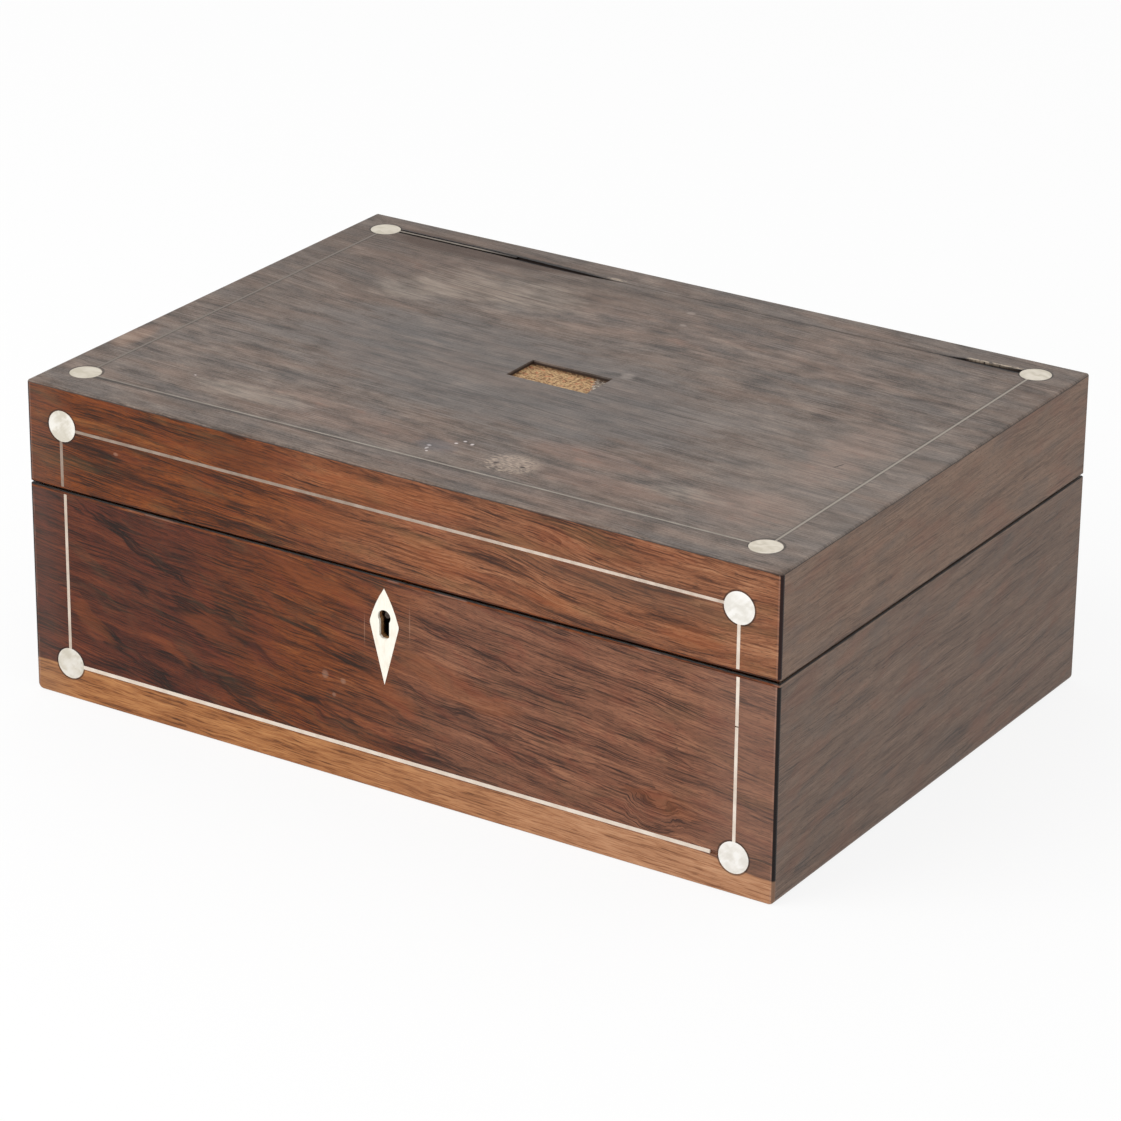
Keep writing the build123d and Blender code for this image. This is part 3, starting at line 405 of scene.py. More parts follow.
# three pale smudges, scratches beside the key plate, and under the seam dirt with painted shade, and rubbing
# with a painted highlight
smudges = (((124.4, 37.2), (1.7, 2.0)), ((131.8, 36.4), (1.4, 1.3)), ((128.0, 30.5), (1.0, 1.0)))
front_scratches = ((140.7, 50.0, 65.5), (158.9, 55.0, 72.5))
for middle, reach in smudges:
    colour = tint(spot(from_left, z, middle, reach) * 0.28, colour, paint(176, 146, 128))
for beside, low, high in front_scratches:
    scratch = stripe(from_left, beside, 0.05, 0.3) * stripe(z, (low + high) / 2, 0, (high - low) / 2)
    colour = tint(scratch * 0.4, colour, paint(168, 130, 108))
# dirt and painted shade just under the seam
seam_dirt_and_shade_below = fade(z, base_top - 0.9, base_top - 0.2) * fade(from_left, 90.0, 160.0, 0.8, 0.3)
colour = tint(seam_dirt_and_shade_below, colour, paint(16, 10, 8))
# a painted highlight where the edge under the seam is rubbed
rubbed_highlight = stripe(z, base_top - 0.9, 0.1, 0.4) * fade(streaks(x, z, 12, 30, 47.0), 0.5, 0.6)
colour = tint(rubbed_highlight * fade(from_left, 130.0, 200.0) * 0.5, colour, paint(170, 136, 118))
colour = glue_rings(x, z, base_discs_at, disc_radius, colour)
dress(close_finish(material, colour, 0.4, 1 - pores, 0.03, **low_shine), "front_veneer")

# the lid: its figure, which bends a little near the right, and its own clouds and glowing patches
material, (x, y, z) = start_finish("lid_front_rosewood")
from_left = x + half_length
across = z + drooping(from_left) + spot(x, z, (100.0, 92.0), (60.0, 26.0)) * 3
tone, pores = figure(x, across, 50.0, wander=4)
blotches = streaks(x, across, 36, 2.2, 58.0, 3)
dark_clouds = (
    (40, 89, 40, 5.0), (28, 96, 18, 3.4), (52, 112, 12, 1.6), (86, 83, 36, 2.6), (196, 95, 18, 3.0),
    (276, 110, 16, 2.0), (264, 93, 18, 2.2), (88, 98, 18, 4.0), (236, 83, 30, 2.0), (232, 100, 22, 1.6),
    (222, 112, 26, 2.0), (150, 81, 20, 1.6), (258, 103, 16, 1.6),
)
clouded = marks(from_left, across, drooping, dark_clouds, blotches)
glows = (
    (125, 94, 30, 6.0), (142, 107, 32, 6.0), (168, 90, 24, 8.0), (168, 110, 24, 5.0), (214, 88, 16, 4.0),
    (268, 89, 16, 6.0),
)
glowing = marks(from_left, across, drooping, glows, blotches)
broken = fade(streaks(x, across, 26, 0.8, 59.0, 2), 0.40, 0.6, 0.25, 1.0)
tone = tone - clouded * broken * 0.34 + glowing * 0.07
tone = tone - fading(from_left, 10.0, 60.0) * 0.03 + fade(from_left, 262.0, 292.0) * 0.10
# its colour: dark at the left, faded at the right, with a grey and a brown patch
colour = tint(
    fade(from_left + (streaks(x, z, 45, 20, 3.0) - 0.5) * 70, 70.0, 190.0),
    rosewood(tone, pores, dark_lid),
    rosewood(tone, pores, pale_lid),
)
colour = tint(glowing * 0.35, colour, paint(150, 84, 44))
redder = fade(streaks(x, across, 28, 6, 61.0, 3), 0.5, 0.68)
colour = tint(redder * 0.25, colour, paint(130, 60, 32))
browner = fade(streaks(x, across, 30, 8, 63.0, 3), 0.5, 0.68)
colour = tint(browner * 0.22, colour, paint(118, 92, 58))
colour = tint(spot(from_left, z, (248.0, 98.0), (58.0, 7.0)) * 0.36, colour, paint(96, 74, 60))
colour = tint(spot(from_left, z, (90.0, 109.0), (20.0, 6.0)) * 0.5, colour, paint(104, 52, 22))
colour = tint(fading(from_left, 3.0, 22.0) * 0.15, colour, paint(122, 104, 94))
# its corners, rubbed with a painted highlight, its sawn ends dark with painted shade, the dirt and painted
# shade over the seam, and a pale speck by the left disc
# a painted highlight on the rubbed corners, and the sawn ends dark with painted shade
colour = tint(rubbed_corner_highlight(x) * 0.25, colour, paint(168, 134, 120))
colour = tint(sawn_end_and_shade(x), colour, paint(34, 13, 10))
# dirt and painted shade just over the seam
seam_dirt_and_shade_above = fading(z, lid_foot + 0.2, lid_foot + 1.0) * fade(from_left, 70.0, 170.0, 0.9, 0.2)
colour = tint(seam_dirt_and_shade_above, colour, paint(14, 9, 7))
colour = glue_rings(x, z, lid_discs_at, disc_radius, colour)
colour = tint(spot(from_left, z, (37.8, 97.2), (1.3, 0.8)) * 0.35, colour, paint(176, 140, 120))
dress(close_finish(material, colour, 0.38, 1 - pores, 0.03, **low_shine), "lid_front_veneer")


# ---------------------------------------------------------------- veneer of the sides and back
# Plainer rosewood with fine, almost level grain, duller than the front. Faint dark bands cross the
# lower part of the base, rising towards the back.
def side_rosewood(name, along, seed, colours, rise):
    """rise is how far the bands climb for each millimetre along the piece."""
    material, place = start_finish(name)
    s, z = place[along], place[Z]
    tone, pores = figure(s, z - s * 0.02, seed, wander=3)
    risen = z - s * rise + (streaks(s, z, 40, 16, seed + 8, 2) - 0.5) * 8
    bands = streaks(s, risen, 60, 3.2, seed + 9, 4)
    low = fade(z, 20.0, 70.0, 1.0, 0.4)
    colour = rosewood(tone * 0.8 + 0.1 + (bands - 0.5) * low * 0.8, pores, colours, contrast=0.85)
    redder = fade(streaks(s, risen, 26, 9, seed + 10, 4), 0.48, 0.66)
    colour = tint(redder * 0.34, colour, paint(122, 78, 58))
    cooler = fade(streaks(s, risen, 26, 10, seed + 11, 4), 0.5, 0.68)
    colour = tint(cooler * 0.28, colour, paint(84, 80, 76))
    hairlines = fade(streaks(s, z - s * 0.02, 32, 0.45, seed + 12, 1), 0.51, 0.63)
    colour = tint(hairlines * 0.26, colour, paint(62, 48, 40))
    return close_finish(material, colour, 0.5, 1 - pores, 0.03, **dull_shine)


plain_side = ((64, 47, 37), (87, 67, 55), (108, 86, 71), (123, 99, 83), (143, 118, 100))
plain_lid = ((76, 56, 44), (98, 75, 60), (120, 94, 76), (134, 107, 88), (154, 127, 106))
dull_shine = {"Specular IOR Level": 0.35}
dress(side_rosewood("base_side_rosewood", Y, 70.0, plain_side, 0.16), "left_veneer", "right_veneer")
dress(side_rosewood("lid_side_rosewood", Y, 80.0, plain_lid, 0.02), "lid_left_veneer", "lid_right_veneer")
dress(side_rosewood("base_back_rosewood", X, 90.0, plain_side, -0.10), "back_veneer")
dress(side_rosewood("lid_back_rosewood", X, 100.0, plain_lid, -0.04), "lid_back_veneer")


# ---------------------------------------------------------------- rims
# Thin strips of the same wood cover the sawn edges of the boards. Dirt and painted shade blacken the joint,
# and the outer edge of the lower strip is rubbed pale here and there, with a painted highlight.
def rim(name, along, second, seed, colours):
    """A strip whose grain runs along one axis, and whose width lies along the second."""
    material, place = start_finish(name)
    s, t, z = place[along], place[second], place[Z]
    tone, pores = figure(s, t + z, seed, wander=2)
    colour = rosewood(tone, pores, colours)
    # the outer edge of the lower strip: worn, with a painted highlight
    rubbed_highlight = fade(streaks(s, t, 16, 9.0, seed + 8, 3), 0.54, 0.64) * fade(z, base_top - 1.1, base_top - 0.7)
    rubbed_highlight = rubbed_highlight * fading(z, base_top - 0.3, base_top - 0.1)
    colour = tint(rubbed_highlight * 0.5, colour, paint(150, 118, 104))
    # dirt and painted shade blacken the joint between base and lid
    joint = stripe(z, (base_top + lid_foot) / 2, 0.5, 0.9)
    for outwards, dirt_and_shade_reach in ((abs(place[Y]), 104.2), (abs(place[X]), 149.2)):
        colour = tint(joint * fade(outwards, dirt_and_shade_reach, dirt_and_shade_reach + 0.6), colour, paint(12, 8, 6))
    return close_finish(material, colour, 0.42, 1 - pores, 0.03, **low_shine)


dull_rim = ((36, 23, 17), (56, 37, 27), (78, 53, 39), (96, 67, 50), (122, 88, 67))
rim_lengthways = rim("rim_rosewood_lengthways", X, Y, 110.0, warm_front)
rim_back = rim("rim_rosewood_back", X, Y, 115.0, dull_rim)
rim_sideways = rim("rim_rosewood_sideways", Y, X, 120.0, plain_side)
dress(rim_lengthways, "front_facing", "lid_front_facing")
dress(rim_back, "back_facing", "lid_back_facing")
dress(rim_sideways, "left_facing", "right_facing", "lid_left_facing", "lid_right_facing")

# ---------------------------------------------------------------- veneer of the top
# The polish is worn off the top, which has gone grey with dust, and part of its grey is painted sheen.
# It is browner towards the front and the right, bluer in the middle, and scuffed pale where things were set
# down on it.
box_top = end_of("top_panel", Z)
half_line = 0.4
line_left = start_of("top_strings", X) + half_line
line_right = end_of("top_strings", X) - half_line
line_front = start_of("top_strings", Y) + half_line
line_back, gap_middle = 91.6, 92.9
band_joints = (55.9, 4.9, -38.1, -54.1)
band_shades = (0.08, 0.26, 0.12, 0.22)
top_disc_radius = 5.6
top_discs_at = ((-136.6, 91.3), (135.2, 92.9), (-137.2, -88.5), (134.6, -89.3))
# the greys of the top are dust and, in part, painted sheen
grey_top_dust_and_sheen = ((48, 38, 32), (74, 62, 54), (101, 87, 78), (118, 104, 94), (144, 130, 118))
brown_places = (
    ((48.0, -58.0), (34.0, 10.0), 1.0), ((60.0, -75.0), (40.0, 9.0), 0.9),
    ((112.0, -66.0), (26.0, 22.0), 0.8), ((118.0, -10.0), (16.0, 44.0), 0.7),
    ((-40.0, -74.0), (70.0, 16.0), 0.6), ((40.0, -97.0), (90.0, 7.0), 0.5),
    ((20.0, 62.0), (110.0, 30.0), 0.35), ((-95.0, 66.0), (50.0, 30.0), 0.5),
)
pale_places = (
    ((-78.0, -74.0), (34.0, 10.0), 1.0), ((-62.0, 60.0), (46.0, 22.0), 0.9),
    ((-92.0, 44.0), (22.0, 14.0), 0.8), ((-145.0, -52.0), (8.0, 14.0), 0.8),
    ((44.0, 58.0), (22.0, 8.0), 0.3), ((92.0, -68.0), (18.0, 9.0), 0.7),
)
dim_places = (
    ((-95.0, 76.0), (85.0, 42.0), 1.0), ((-132.0, 30.0), (30.0, 60.0), 0.5),
    ((-10.0, 80.0), (95.0, 20.0), 0.5), ((-100.0, 36.0), (18.0, 12.0), 0.7),
    ((-40.0, 66.0), (18.0, 10.0), 0.5), ((120.0, 98.0), (18.0, 6.0), 0.7),
)
light_places = (
    ((132.0, -35.0), (62.0, 85.0), 1.0), ((72.0, -2.0), (30.0, 24.0), 0.6),
    ((-8.0, -86.0), (34.0, 8.0), 0.6), ((-142.0, -84.0), (8.0, 10.0), 0.6),
)
# places of dirt and painted shadow beside the back groove
smear_and_shadow_places = (
    ((-95.0, 88.5), (42.0, 8.5), 1.0), ((-66.0, 90.5), (28.0, 6.5), 0.8),
    ((-128.0, 82.0), (26.0, 16.0), 0.4), ((-114.0, 95.8), (24.0, 2.2), 0.7),
    ((118.0, 90.5), (22.0, 4.5), 0.8),
)


def worn_colour_and_sheen(x, y, across, blots, seed):
    """Rosewood with its polish gone, greyed by dust and painted sheen, in broad patches, streaked and
    scratched along the grain.
    """
    tone, pores = figure(x, across, seed, wander=6)
    dust = streaks(x, y, 1.0, 0.6, 136.0, 2)
    mottle = streaks(x, across, 18, 8, 137.0, 4)
    ragged = (mottle - 0.5) * 1.6 + (blots - 0.5) * 0.8
    worn = tone * 0.6 + 0.2 + (blots - 0.5) * 0.8 + (mottle - 0.5) * 1.0 + (dust - 0.5) * 0.7
    colour = rosewood(worn, pores * 0.6, grey_top_dust_and_sheen, contrast=0.85)
    warmth = streaks(x, across, 46, 11, 143.0, 5)
    colour = tint(fade(warmth, 0.46, 0.70) * 0.35, colour, paint(140, 112, 95))
    colour = tint(fading(warmth, 0.30, 0.54) * 0.3, colour, paint(98, 97, 97))
    grey = fade(spot(x, y + x * 0.12, (-16.0, -14.0), (118.0, 52.0)) * 1.2 + ragged, 0.2, 0.9)
    colour = tint(grey * 0.42, colour, paint(94, 92, 91))
    brown = fade(patches(x, y, brown_places) + ragged, 0.0, 1.3)
    colour = tint(brown * 0.45, colour, paint(138, 106, 90))
    redder = fade(streaks(x, across, 11, 5, 141.0, 3), 0.54, 0.70)
    colour = tint(redder * brown * 0.4, colour, paint(146, 96, 74))
    dim = fade(patches(x, y, dim_places) + ragged * 0.4, 0.0, 1.0)
    colour = tint(dim * 0.34, colour, paint(66, 48, 34))
    light = fade(patches(x, y, light_places) + ragged * 0.3, 0.0, 1.0)
    colour = tint(light * 0.16, colour, paint(170, 158, 148))
    streaked = fade(streaks(x, across, 22, 2.4, 139.0, 4), 0.36, 0.62, 0.35, 1.0)
    pale = fade(patches(x, y, pale_places) + ragged, 0.1, 1.2) * streaked
    colour = tint(pale * 0.6, colour, paint(166, 152, 138))
    scratched = streaks(x, across, 36, 0.5, 144.0, 1)
    colour = tint(fade(scratched, 0.52, 0.64) * 0.32, colour, paint(58, 50, 45))
    colour = tint(fading(scratched, 0.36, 0.46) * 0.2, colour, paint(164, 150, 140))
    return colour, pores


def line_dirt_and_shade(x, y, colour):
    """Dirt and painted shade lie along the inlaid lines, thinly by the two at the ends and thicker by the
    front one.
    """
    beside = stripe(abs(x - line_right), 0.7, 0.0, 0.5) * 0.4
    beside = beside + stripe(y - line_front, -1.1, 0.3, 1.1) * 0.75 * fade(x, -140.0, 60.0, 1.0, 0.4)
    beside = beside + stripe(x - line_left, 0.7, 0.0, 0.6) * 0.5
    within = stripe(x, -1.0, 136.2, 137.2) * fading(abs(y), 91.6, 92.4)
    return tint(beside * within, colour, paint(40, 32, 27))


def open_seam(x, y, blots, colour):
    """Along the back the line is mostly lost. Its groove gapes at both ends, black with dirt and painted
    shade, and dirt with a painted shadow darkens the wood beside it; between the ends it shows as a faint
    trace. Its lip is torn."""
    # dirt beside the groove, with a painted shadow
    smear_and_shadow = patches(x, y, smear_and_shadow_places) + (blots - 0.5) * 0.6
    colour = tint(fade(smear_and_shadow, 0.1, 1.0) * 0.74, colour, paint(60, 36, 18))
    open_left = fading(x, -58.0, -32.0) * fade(x, -136.0, -130.0)
    open_right = fade(x, 70.0, 116.0) * fading(x, 128.0, 132.0)
    middle = gap_middle - fade(x, -92.0, -50.0) * 1.1
    middle = middle + fade(x, 98.0, 118.0) * 1.0 - fade(x, -30.0, 40.0) * 0.3
    half = open_left * fade(x, -90.0, -70.0, 1.9, 2.3) + open_right * fade(x, 92.0, 118.0, 0.7, 2.0)
    tattered = (streaks(x, y, 3.0, 1.6, 142.0, 3) - 0.5) * 2.6
    # the gaping groove painted black: dirt and painted shade
    black_dirt_and_shade = fading(abs(y - middle) + tattered - half, -0.7, 0.7) * fade(half, 0.0, 0.5)
    colour = tint(black_dirt_and_shade * 0.96, colour, paint(14, 7, 4))
    trace = stripe(y, line_back, 0.2, 0.8) * stripe(x, 30.0, 58.0, 70.0)
    trace = trace * fade(streaks(x, y, 20.0, 9.0, 146.0, 3), 0.36, 0.56, 0.25, 1.0)
    colour = tint(trace * 0.6, colour, paint(56, 45, 38))
    lip = fading(abs(y - 94.5 - (x - 118.0) * 0.05), 0.3, 1.0) * spot(x, y, (118.5, 94.5), (11.5, 9.0), 0.6)
    torn = spot(x, y, (-35.5, 93.2), (5.0, 1.2)) + lip
    torn = torn * fade(streaks(x, y, 2.0, 0.7, 147.0, 3), 0.40, 0.54)
    return tint(torn * 0.8, colour, paint(190, 172, 152))


def top_rosewood(name, seed):
    """One sheet of the top, with the wear and dirt that run on from sheet to sheet."""
    material, (x, y, z) = start_finish(name)
    across = y + x * 0.06 + spot(x, y, (-60.0, 30.0), (90.0, 50.0)) * 5
    blots = streaks(x, across, 9, 4, 138.0, 4)
    colour, pores = worn_colour_and_sheen(x, y, across, blots, seed)
    colour = open_seam(x, y, blots, line_dirt_and_shade(x, y, colour))
    colour = glue_rings(x, y, top_discs_at, top_disc_radius, colour)
    # the sheet is darker along its edge, just below its top face
    darker_edge = fading(z, box_top - 0.75, box_top - 0.4)
    colour = tint(darker_edge * 0.8, colour, paint(44, 28, 22))
    return material, (x, y, z), colour, pores


scratches = (
    (17.0, -9.2, 75.0, -10.0), (-13.5, -27.7, 32.0, -32.8), (-85.0, 61.6, -31.0, 56.2),
    (-67.0, 54.0, -50.0, 50.0), (-131.0, -27.0, -100.0, -27.5), (69.0, 61.9, 108.0, 58.6),
)
specks = (
    ((5.0, -72.1), (0.8, 0.8)), ((6.6, -69.1), (0.9, 0.7)), ((10.0, -70.1), (0.8, 1.0)),
    ((-1.6, -78.4), (1.1, 0.8)), ((-1.0, -80.8), (0.6, 1.3)), ((0.4, -83.0), (0.6, 0.6)),
    ((-104.4, -70.0), (0.6, 0.4)),
)
pale_smudges = (((19.2, 12.4), (3.2, 3.6)), ((5.0, 78.1), (2.2, 1.8)), ((9.0, 66.0), (2.0, 1.4)))
dark_drops = ((25.4, -79.0), (34.8, -77.6))
crack_x, crack_y = 120.3, -18.2

# the middle sheet has long, wavering scratches
material, (x, y, z), colour, pores = top_rosewood("top_panel_rosewood", 130.0)
wavering = (streaks(x, y, 20, 12, 145.0, 2) - 0.5) * 3
for start_x, start_y, end_x, end_y in scratches:
    length = end_x - start_x
    slope = (end_y - start_y) / length
    away = abs(y - start_y - (x - start_x) * slope + wavering)
    near = stripe(x, (start_x + end_x) / 2, length * 0.25, length * 0.55)
    colour = tint(fading(away, 0.15, 0.5) * near * 0.5, colour, paint(54, 44, 38))
# near the front it has a pale, scuffed stain with two dark drops, white specks and a grey smudge
scuffs = streaks(x, y, 2.2, 1.0, 140.0, 4)
ragged = (scuffs - 0.5) * 14
stain = spot(x + ragged, y + ragged * 0.7, (31.2, -76.5), (11.5, 9.5), 0.3)
colour = tint(stain * fade(scuffs, 0.38, 0.64, 0.1, 0.95), colour, paint(170, 152, 136))
for middle in dark_drops:
    colour = tint(spot(x + ragged * 0.08, y, middle, (1.3, 1.0)), colour, paint(52, 38, 32))
for middle, reach in specks:
    colour = tint(spot(x + ragged * 0.05, y, middle, reach) * 0.9, colour, paint(212, 202, 200))
for middle, reach in pale_smudges:
    colour = tint(spot(x + ragged * 0.2, y, middle, reach) * 0.3, colour, paint(186, 172, 162))
grey_smudge = spot(x + ragged * 0.5, y, (0.5, -77.5), (10.0, 6.0))
colour = tint(grey_smudge * 0.4, colour, paint(84, 88, 96))
# and by the right-hand line it has a short crack
off_crack = abs(x - crack_x - (y - crack_y) * 0.35)
crack = fading(off_crack, 0.12, 0.35) * stripe(y, crack_y, 1.6, 2.4)
colour = tint(crack, colour, paint(30, 22, 18))
dress(close_finish(material, colour, 0.55, 1 - pores, 0.04, **dull_shine), "top_panel")

# of the bands round it, the right-hand one is in blocks of slightly different shades, and the left-hand
# one has a brown patch
for side, seed in (("front", 150.0), ("back", 160.0), ("left", 170.0), ("right", 180.0)):
    material, (x, y, z), colour, pores = top_rosewood(f"top_{side}_rosewood", seed)
    if side == "left":
        colour = tint(spot(x, y, (-145.0, -50.0), (6.0, 16.0)) * 0.3, colour, paint(152, 110, 84))
    if side == "right":
        for joint, shade in zip(band_joints, band_shades):
            block = fading(y, joint - 0.1, joint + 0.1) * fade(y, joint - 22, joint - 4)
            colour = tint(block * shade, colour, paint(40, 32, 28))
    dress(close_finish(material, colour, 0.55, 1 - pores, 0.04, **dull_shine), f"top_{side}_band")


# ---------------------------------------------------------------- pearl
# Discs of mother of pearl, cut across the shell, so that soft cloudy eyes show in them. They are glued
# into bored holes, and those at the left have yellowed.
def pearl(name, second, colours, low_yellow, high_yellow, whiter):
    """Discs that lie along x and a second axis. The low and high yellow are those of the discs on the
    base and on the lid, and whiter is how much whiter the discs at the right are."""
    material, place = start_finish(name)
    u, v = place[X], place[second]
    warp = (streaks(u, v, 4.0, 4.0, 199.0, 2) - 0.5) * 6
    clouds = streaks(u + warp, v - warp, 6.0, 4.0, 200.0, 1)
    bands = streaks(u + v + warp, v - u, 9.0, 1.4, 201.0, 2)
    tone = fade(clouds * 0.8 + bands * 0.2, 0.34, 0.66)
    colour = ramp(tone, *zip((0.0, 0.5, 1.0), (paint(*c) for c in colours)))
    yellowed = fading(place[X], -100.0, 100.0) * fade(place[Z], 40.0, 80.0, low_yellow, high_yellow)
    colour = tint(yellowed, colour, paint(178, 168, 146))
    colour = tint(fade(place[X], -100.0, 100.0) * whiter, colour, paint(252, 252, 252))
    return close_finish(material, colour, 0.22)


bright_pearl = ((210, 204, 190), (228, 223, 212), (241, 238, 231))
dull_pearl = ((192, 182, 162), (206, 196, 178), (216, 207, 190))
front_pearl = pearl("front_pearl", Z, bright_pearl, 0.3, 0.15, 0.28)
top_pearl = pearl("top_pearl", Y, dull_pearl, 0.32, 0.32, 0.0)
dress(front_pearl, "base_discs", "lid_discs")
dress(top_pearl, "top_discs")


# ---------------------------------------------------------------- inlaid lines
# Strings of pale wood a millimetre wide, glued into grooves. Those of the base are still bright, those
# on the front of the lid have gone grey towards the left, and those of the top are sunk and dirty,
# the back one mostly black with dirt and painted shade.
def line_finish(name, along, colours, worn_colours, turn, spread=60.0, dark_dirt_and_shade_sides=False):
    """turn is the x where the worn colours give way to the others, within spread of it."""
    material, (x, y, z) = start_finish(name)
    s, t = (z, x) if along == Z else (x, z)
    blots = fade(streaks(s, t, 7.0, 6.0, 210.0, 4), 0.3, 0.7)
    bright, worn = (
        ramp(blots, (0.0, paint(*dark)), (1.0, paint(*pale))) for dark, pale in (colours, worn_colours)
    )
    colour = tint(fade(x, turn - spread, turn + spread), worn, bright)
    # the sides of the sunk string are painted dark, as dirt and painted shade in its groove
    if dark_dirt_and_shade_sides:
        colour = tint(fading(z, box_top - 0.2, box_top - 0.05), colour, paint(24, 16, 12))
    return close_finish(material, colour, 0.5, **low_shine)


clean = ((214, 198, 182), (232, 220, 206))
soiled = ((194, 178, 162), (214, 199, 184))
greyed = ((134, 116, 102), (160, 142, 128))
brighter = ((184, 166, 150), (222, 205, 190))
sunk = ((134, 125, 115), (154, 146, 135))
buried = ((112, 103, 94), (134, 125, 115))
# the lost part of the back string is painted black, dirt with painted shade
sooty_and_shaded = ((18, 12, 9), (34, 26, 21))
dress(line_finish("upright_line", Z, clean, soiled, 0.0), "base_upright_strings")
dress(line_finish("foot_line", X, clean, clean, 0.0), "foot_string")
dress(line_finish("lid_upright_line", Z, clean, greyed, 0.0), "lid_upright_strings")
dress(line_finish("lid_line", X, brighter, greyed, 20.0), "lid_front_string")
dress(line_finish("sunk_line", X, sunk, buried, -90.0), "top_strings")
dress(line_finish("sooty_shaded_line", X, sooty_and_shaded, buried, -88.0, 10.0, dark_dirt_and_shade_sides=True), "top_back_string")

# ---------------------------------------------------------------- key plate
# A flat kite of bone with the keyhole through it, let into the veneer flush. It is creamy, and lightly
# soiled in streaks.
material, (x, y, z) = start_finish("bone")
soil = streaks(x, z, 2.0, 7.0, 220.0, 4)
colour = ramp(
    fade(soil, 0.3, 0.6),
    (0.0, paint(240, 233, 216)),
    (0.45, paint(247, 241, 226)),
    (1.0, paint(251, 247, 234)),
)
dress(close_finish(material, colour, 0.35), "escutcheon")


# ---------------------------------------------------------------- metalwork
# The lock, hinges and screws are brass, tarnished brown, and the pins, spring and brads are iron. The
# lock is let into the front wall, and the hinges into the back rims.
def metal(name, colours, roughness):
    """Worn metal, its colours given from its darkest patina to its barest."""
    material, (x, y, z) = start_finish(name)
    patina = streaks(x + y, z + y, 6.0, 4.0, 230.0, 5)
    colour = ramp(fade(patina, 0.3, 0.7), *zip((0.0, 0.5, 1.0), (paint(*c) for c in colours)))
    return close_finish(material, colour, roughness, patina, 0.03, Metallic=1.0)


brass = metal("tarnished_brass", ((138, 109, 66), (158, 128, 80), (178, 148, 97)), 0.38)
iron = metal("dark_iron", ((44, 38, 34), (84, 76, 70), (120, 112, 104)), 0.5)
dress(brass, "lower_leaves", "upper_leaves", "lock_case", "lock_cap", "lock_bolt", "link_plate")
dress(brass, "base_screws", "lid_screws")
dress(iron, "hinge_pins", "bottom_brads", "key_pin", "bolt_spring")


# ---------------------------------------------------------------- linings
# Card covered with dark red velvet lines the walls and the floor. Each card is glued in, with its pile
# facing the inside of the box.
def velvet(name, first, second):
    """Velvet on a card that lies along the first and second axes."""
    material, place = start_finish(name)
    u, v = place[first], place[second]
    pile = streaks(u, v, 0.5, 0.5, 240.0, 2)
    strokes = streaks(u, v, 30, 14, 241.0, 3)
    tone = fade(pile * 0.5 + strokes * 0.5, 0.3, 0.7)
    colour = ramp(tone, (0.0, paint(78, 19, 27)), (0.5, paint(87, 22, 31)), (1.0, paint(97, 27, 36)))
    cloth = {"Sheen Weight": 0.25, "Sheen Roughness": 0.4}
    return close_finish(material, colour, 0.9, pile, 0.15, **cloth)


dress(velvet("velvet_floor", X, Y), "floor_lining")
dress(velvet("velvet_long_walls", X, Z), "front_lining", "back_lining", "lid_linings")
dress(velvet("velvet_short_walls", Y, Z), "side_linings")

# ---------------------------------------------------------------- lid panel
# A card padded with wadding, covered with dark red silk and glued up inside the lid. Stitches in a
# diamond pattern hold the silk down to the card, and between them the wadding swells it out.
lowest, highest = (Vector(corner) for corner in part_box("lid_pad"))
middle = (lowest + highest) / 2
play = 0.0006
glue_gap = 0.0001
panel_size = highest - lowest - Vector((play, play, 0.0))
cells_long, cells_wide, stitch_cells = 72, 48, 12
rim_thickness, swell, stitch_thickness = 0.0022, 0.0019, 0.0009
drawn_in = 0.0010
most_give = 0.0016
silk_clearance = 0.0002
settling_frames = 20

padding = bmesh.new()
bmesh.ops.create_grid(padding, x_segments=cells_long, y_segments=cells_wide, size=0.5)
bmesh.ops.scale(padding, vec=(panel_size.x, panel_size.y, 1.0), verts=padding.verts)
bmesh.ops.translate(padding, vec=(middle.x, middle.y, highest.z - glue_gap), verts=padding.verts)
card = list(padding.verts)
silk_side = bmesh.ops.extrude_face_region(padding, geom=padding.faces[:], use_keep_orig=True)
silk_verts = [v for v in silk_side["geom"] if isinstance(v, bmesh.types.BMVert)]
bmesh.ops.translate(padding, vec=(0, 0, -rim_thickness), verts=silk_verts)
padding.verts.index_update()
held = {v.index for v in card}
half = stitch_cells // 2
for v in silk_verts:
    along = (v.co.x - middle.x) / panel_size.x
    across = (v.co.y - middle.y) / panel_size.y
    column, row = round((along + 0.5) * cells_long), round((across + 0.5) * cells_wide)
    on_rim = column in (0, cells_long) or row in (0, cells_wide)
    stitched = column % half == 0 and row % half == 0 and (column + row) % stitch_cells == 0 and not on_rim
    if stitched:
        v.co.z = highest.z - stitch_thickness
    elif not on_rim:
        diagonals = (abs(math.sin(math.pi * (column + side * row) / stitch_cells)) for side in (-1, 1))
        crown = (1 - (2 * along) ** 6) * (1 - (2 * across) ** 6)
        v.co.z -= swell * crown * min(diagonals) ** 0.5
    if on_rim or stitched:
        held.add(v.index)
    # the silk is drawn in a little along the middle of each side
    v.co.x -= drawn_in * round(2 * along) * (1 - (2 * across) ** 2) * (abs(2 * along) > 0.98)
    v.co.y -= drawn_in * round(2 * across) * (1 - (2 * along) ** 2) * (abs(2 * across) > 0.98)
bmesh.ops.recalc_face_normals(padding, faces=padding.faces[:])
panel_mesh = bpy.data.meshes.new("padded_silk")
padding.to_mesh(panel_mesh)
padding.free()
panel = bpy.data.objects.new("padded_silk", panel_mesh)
bpy.context.scene.collection.objects.link(panel)

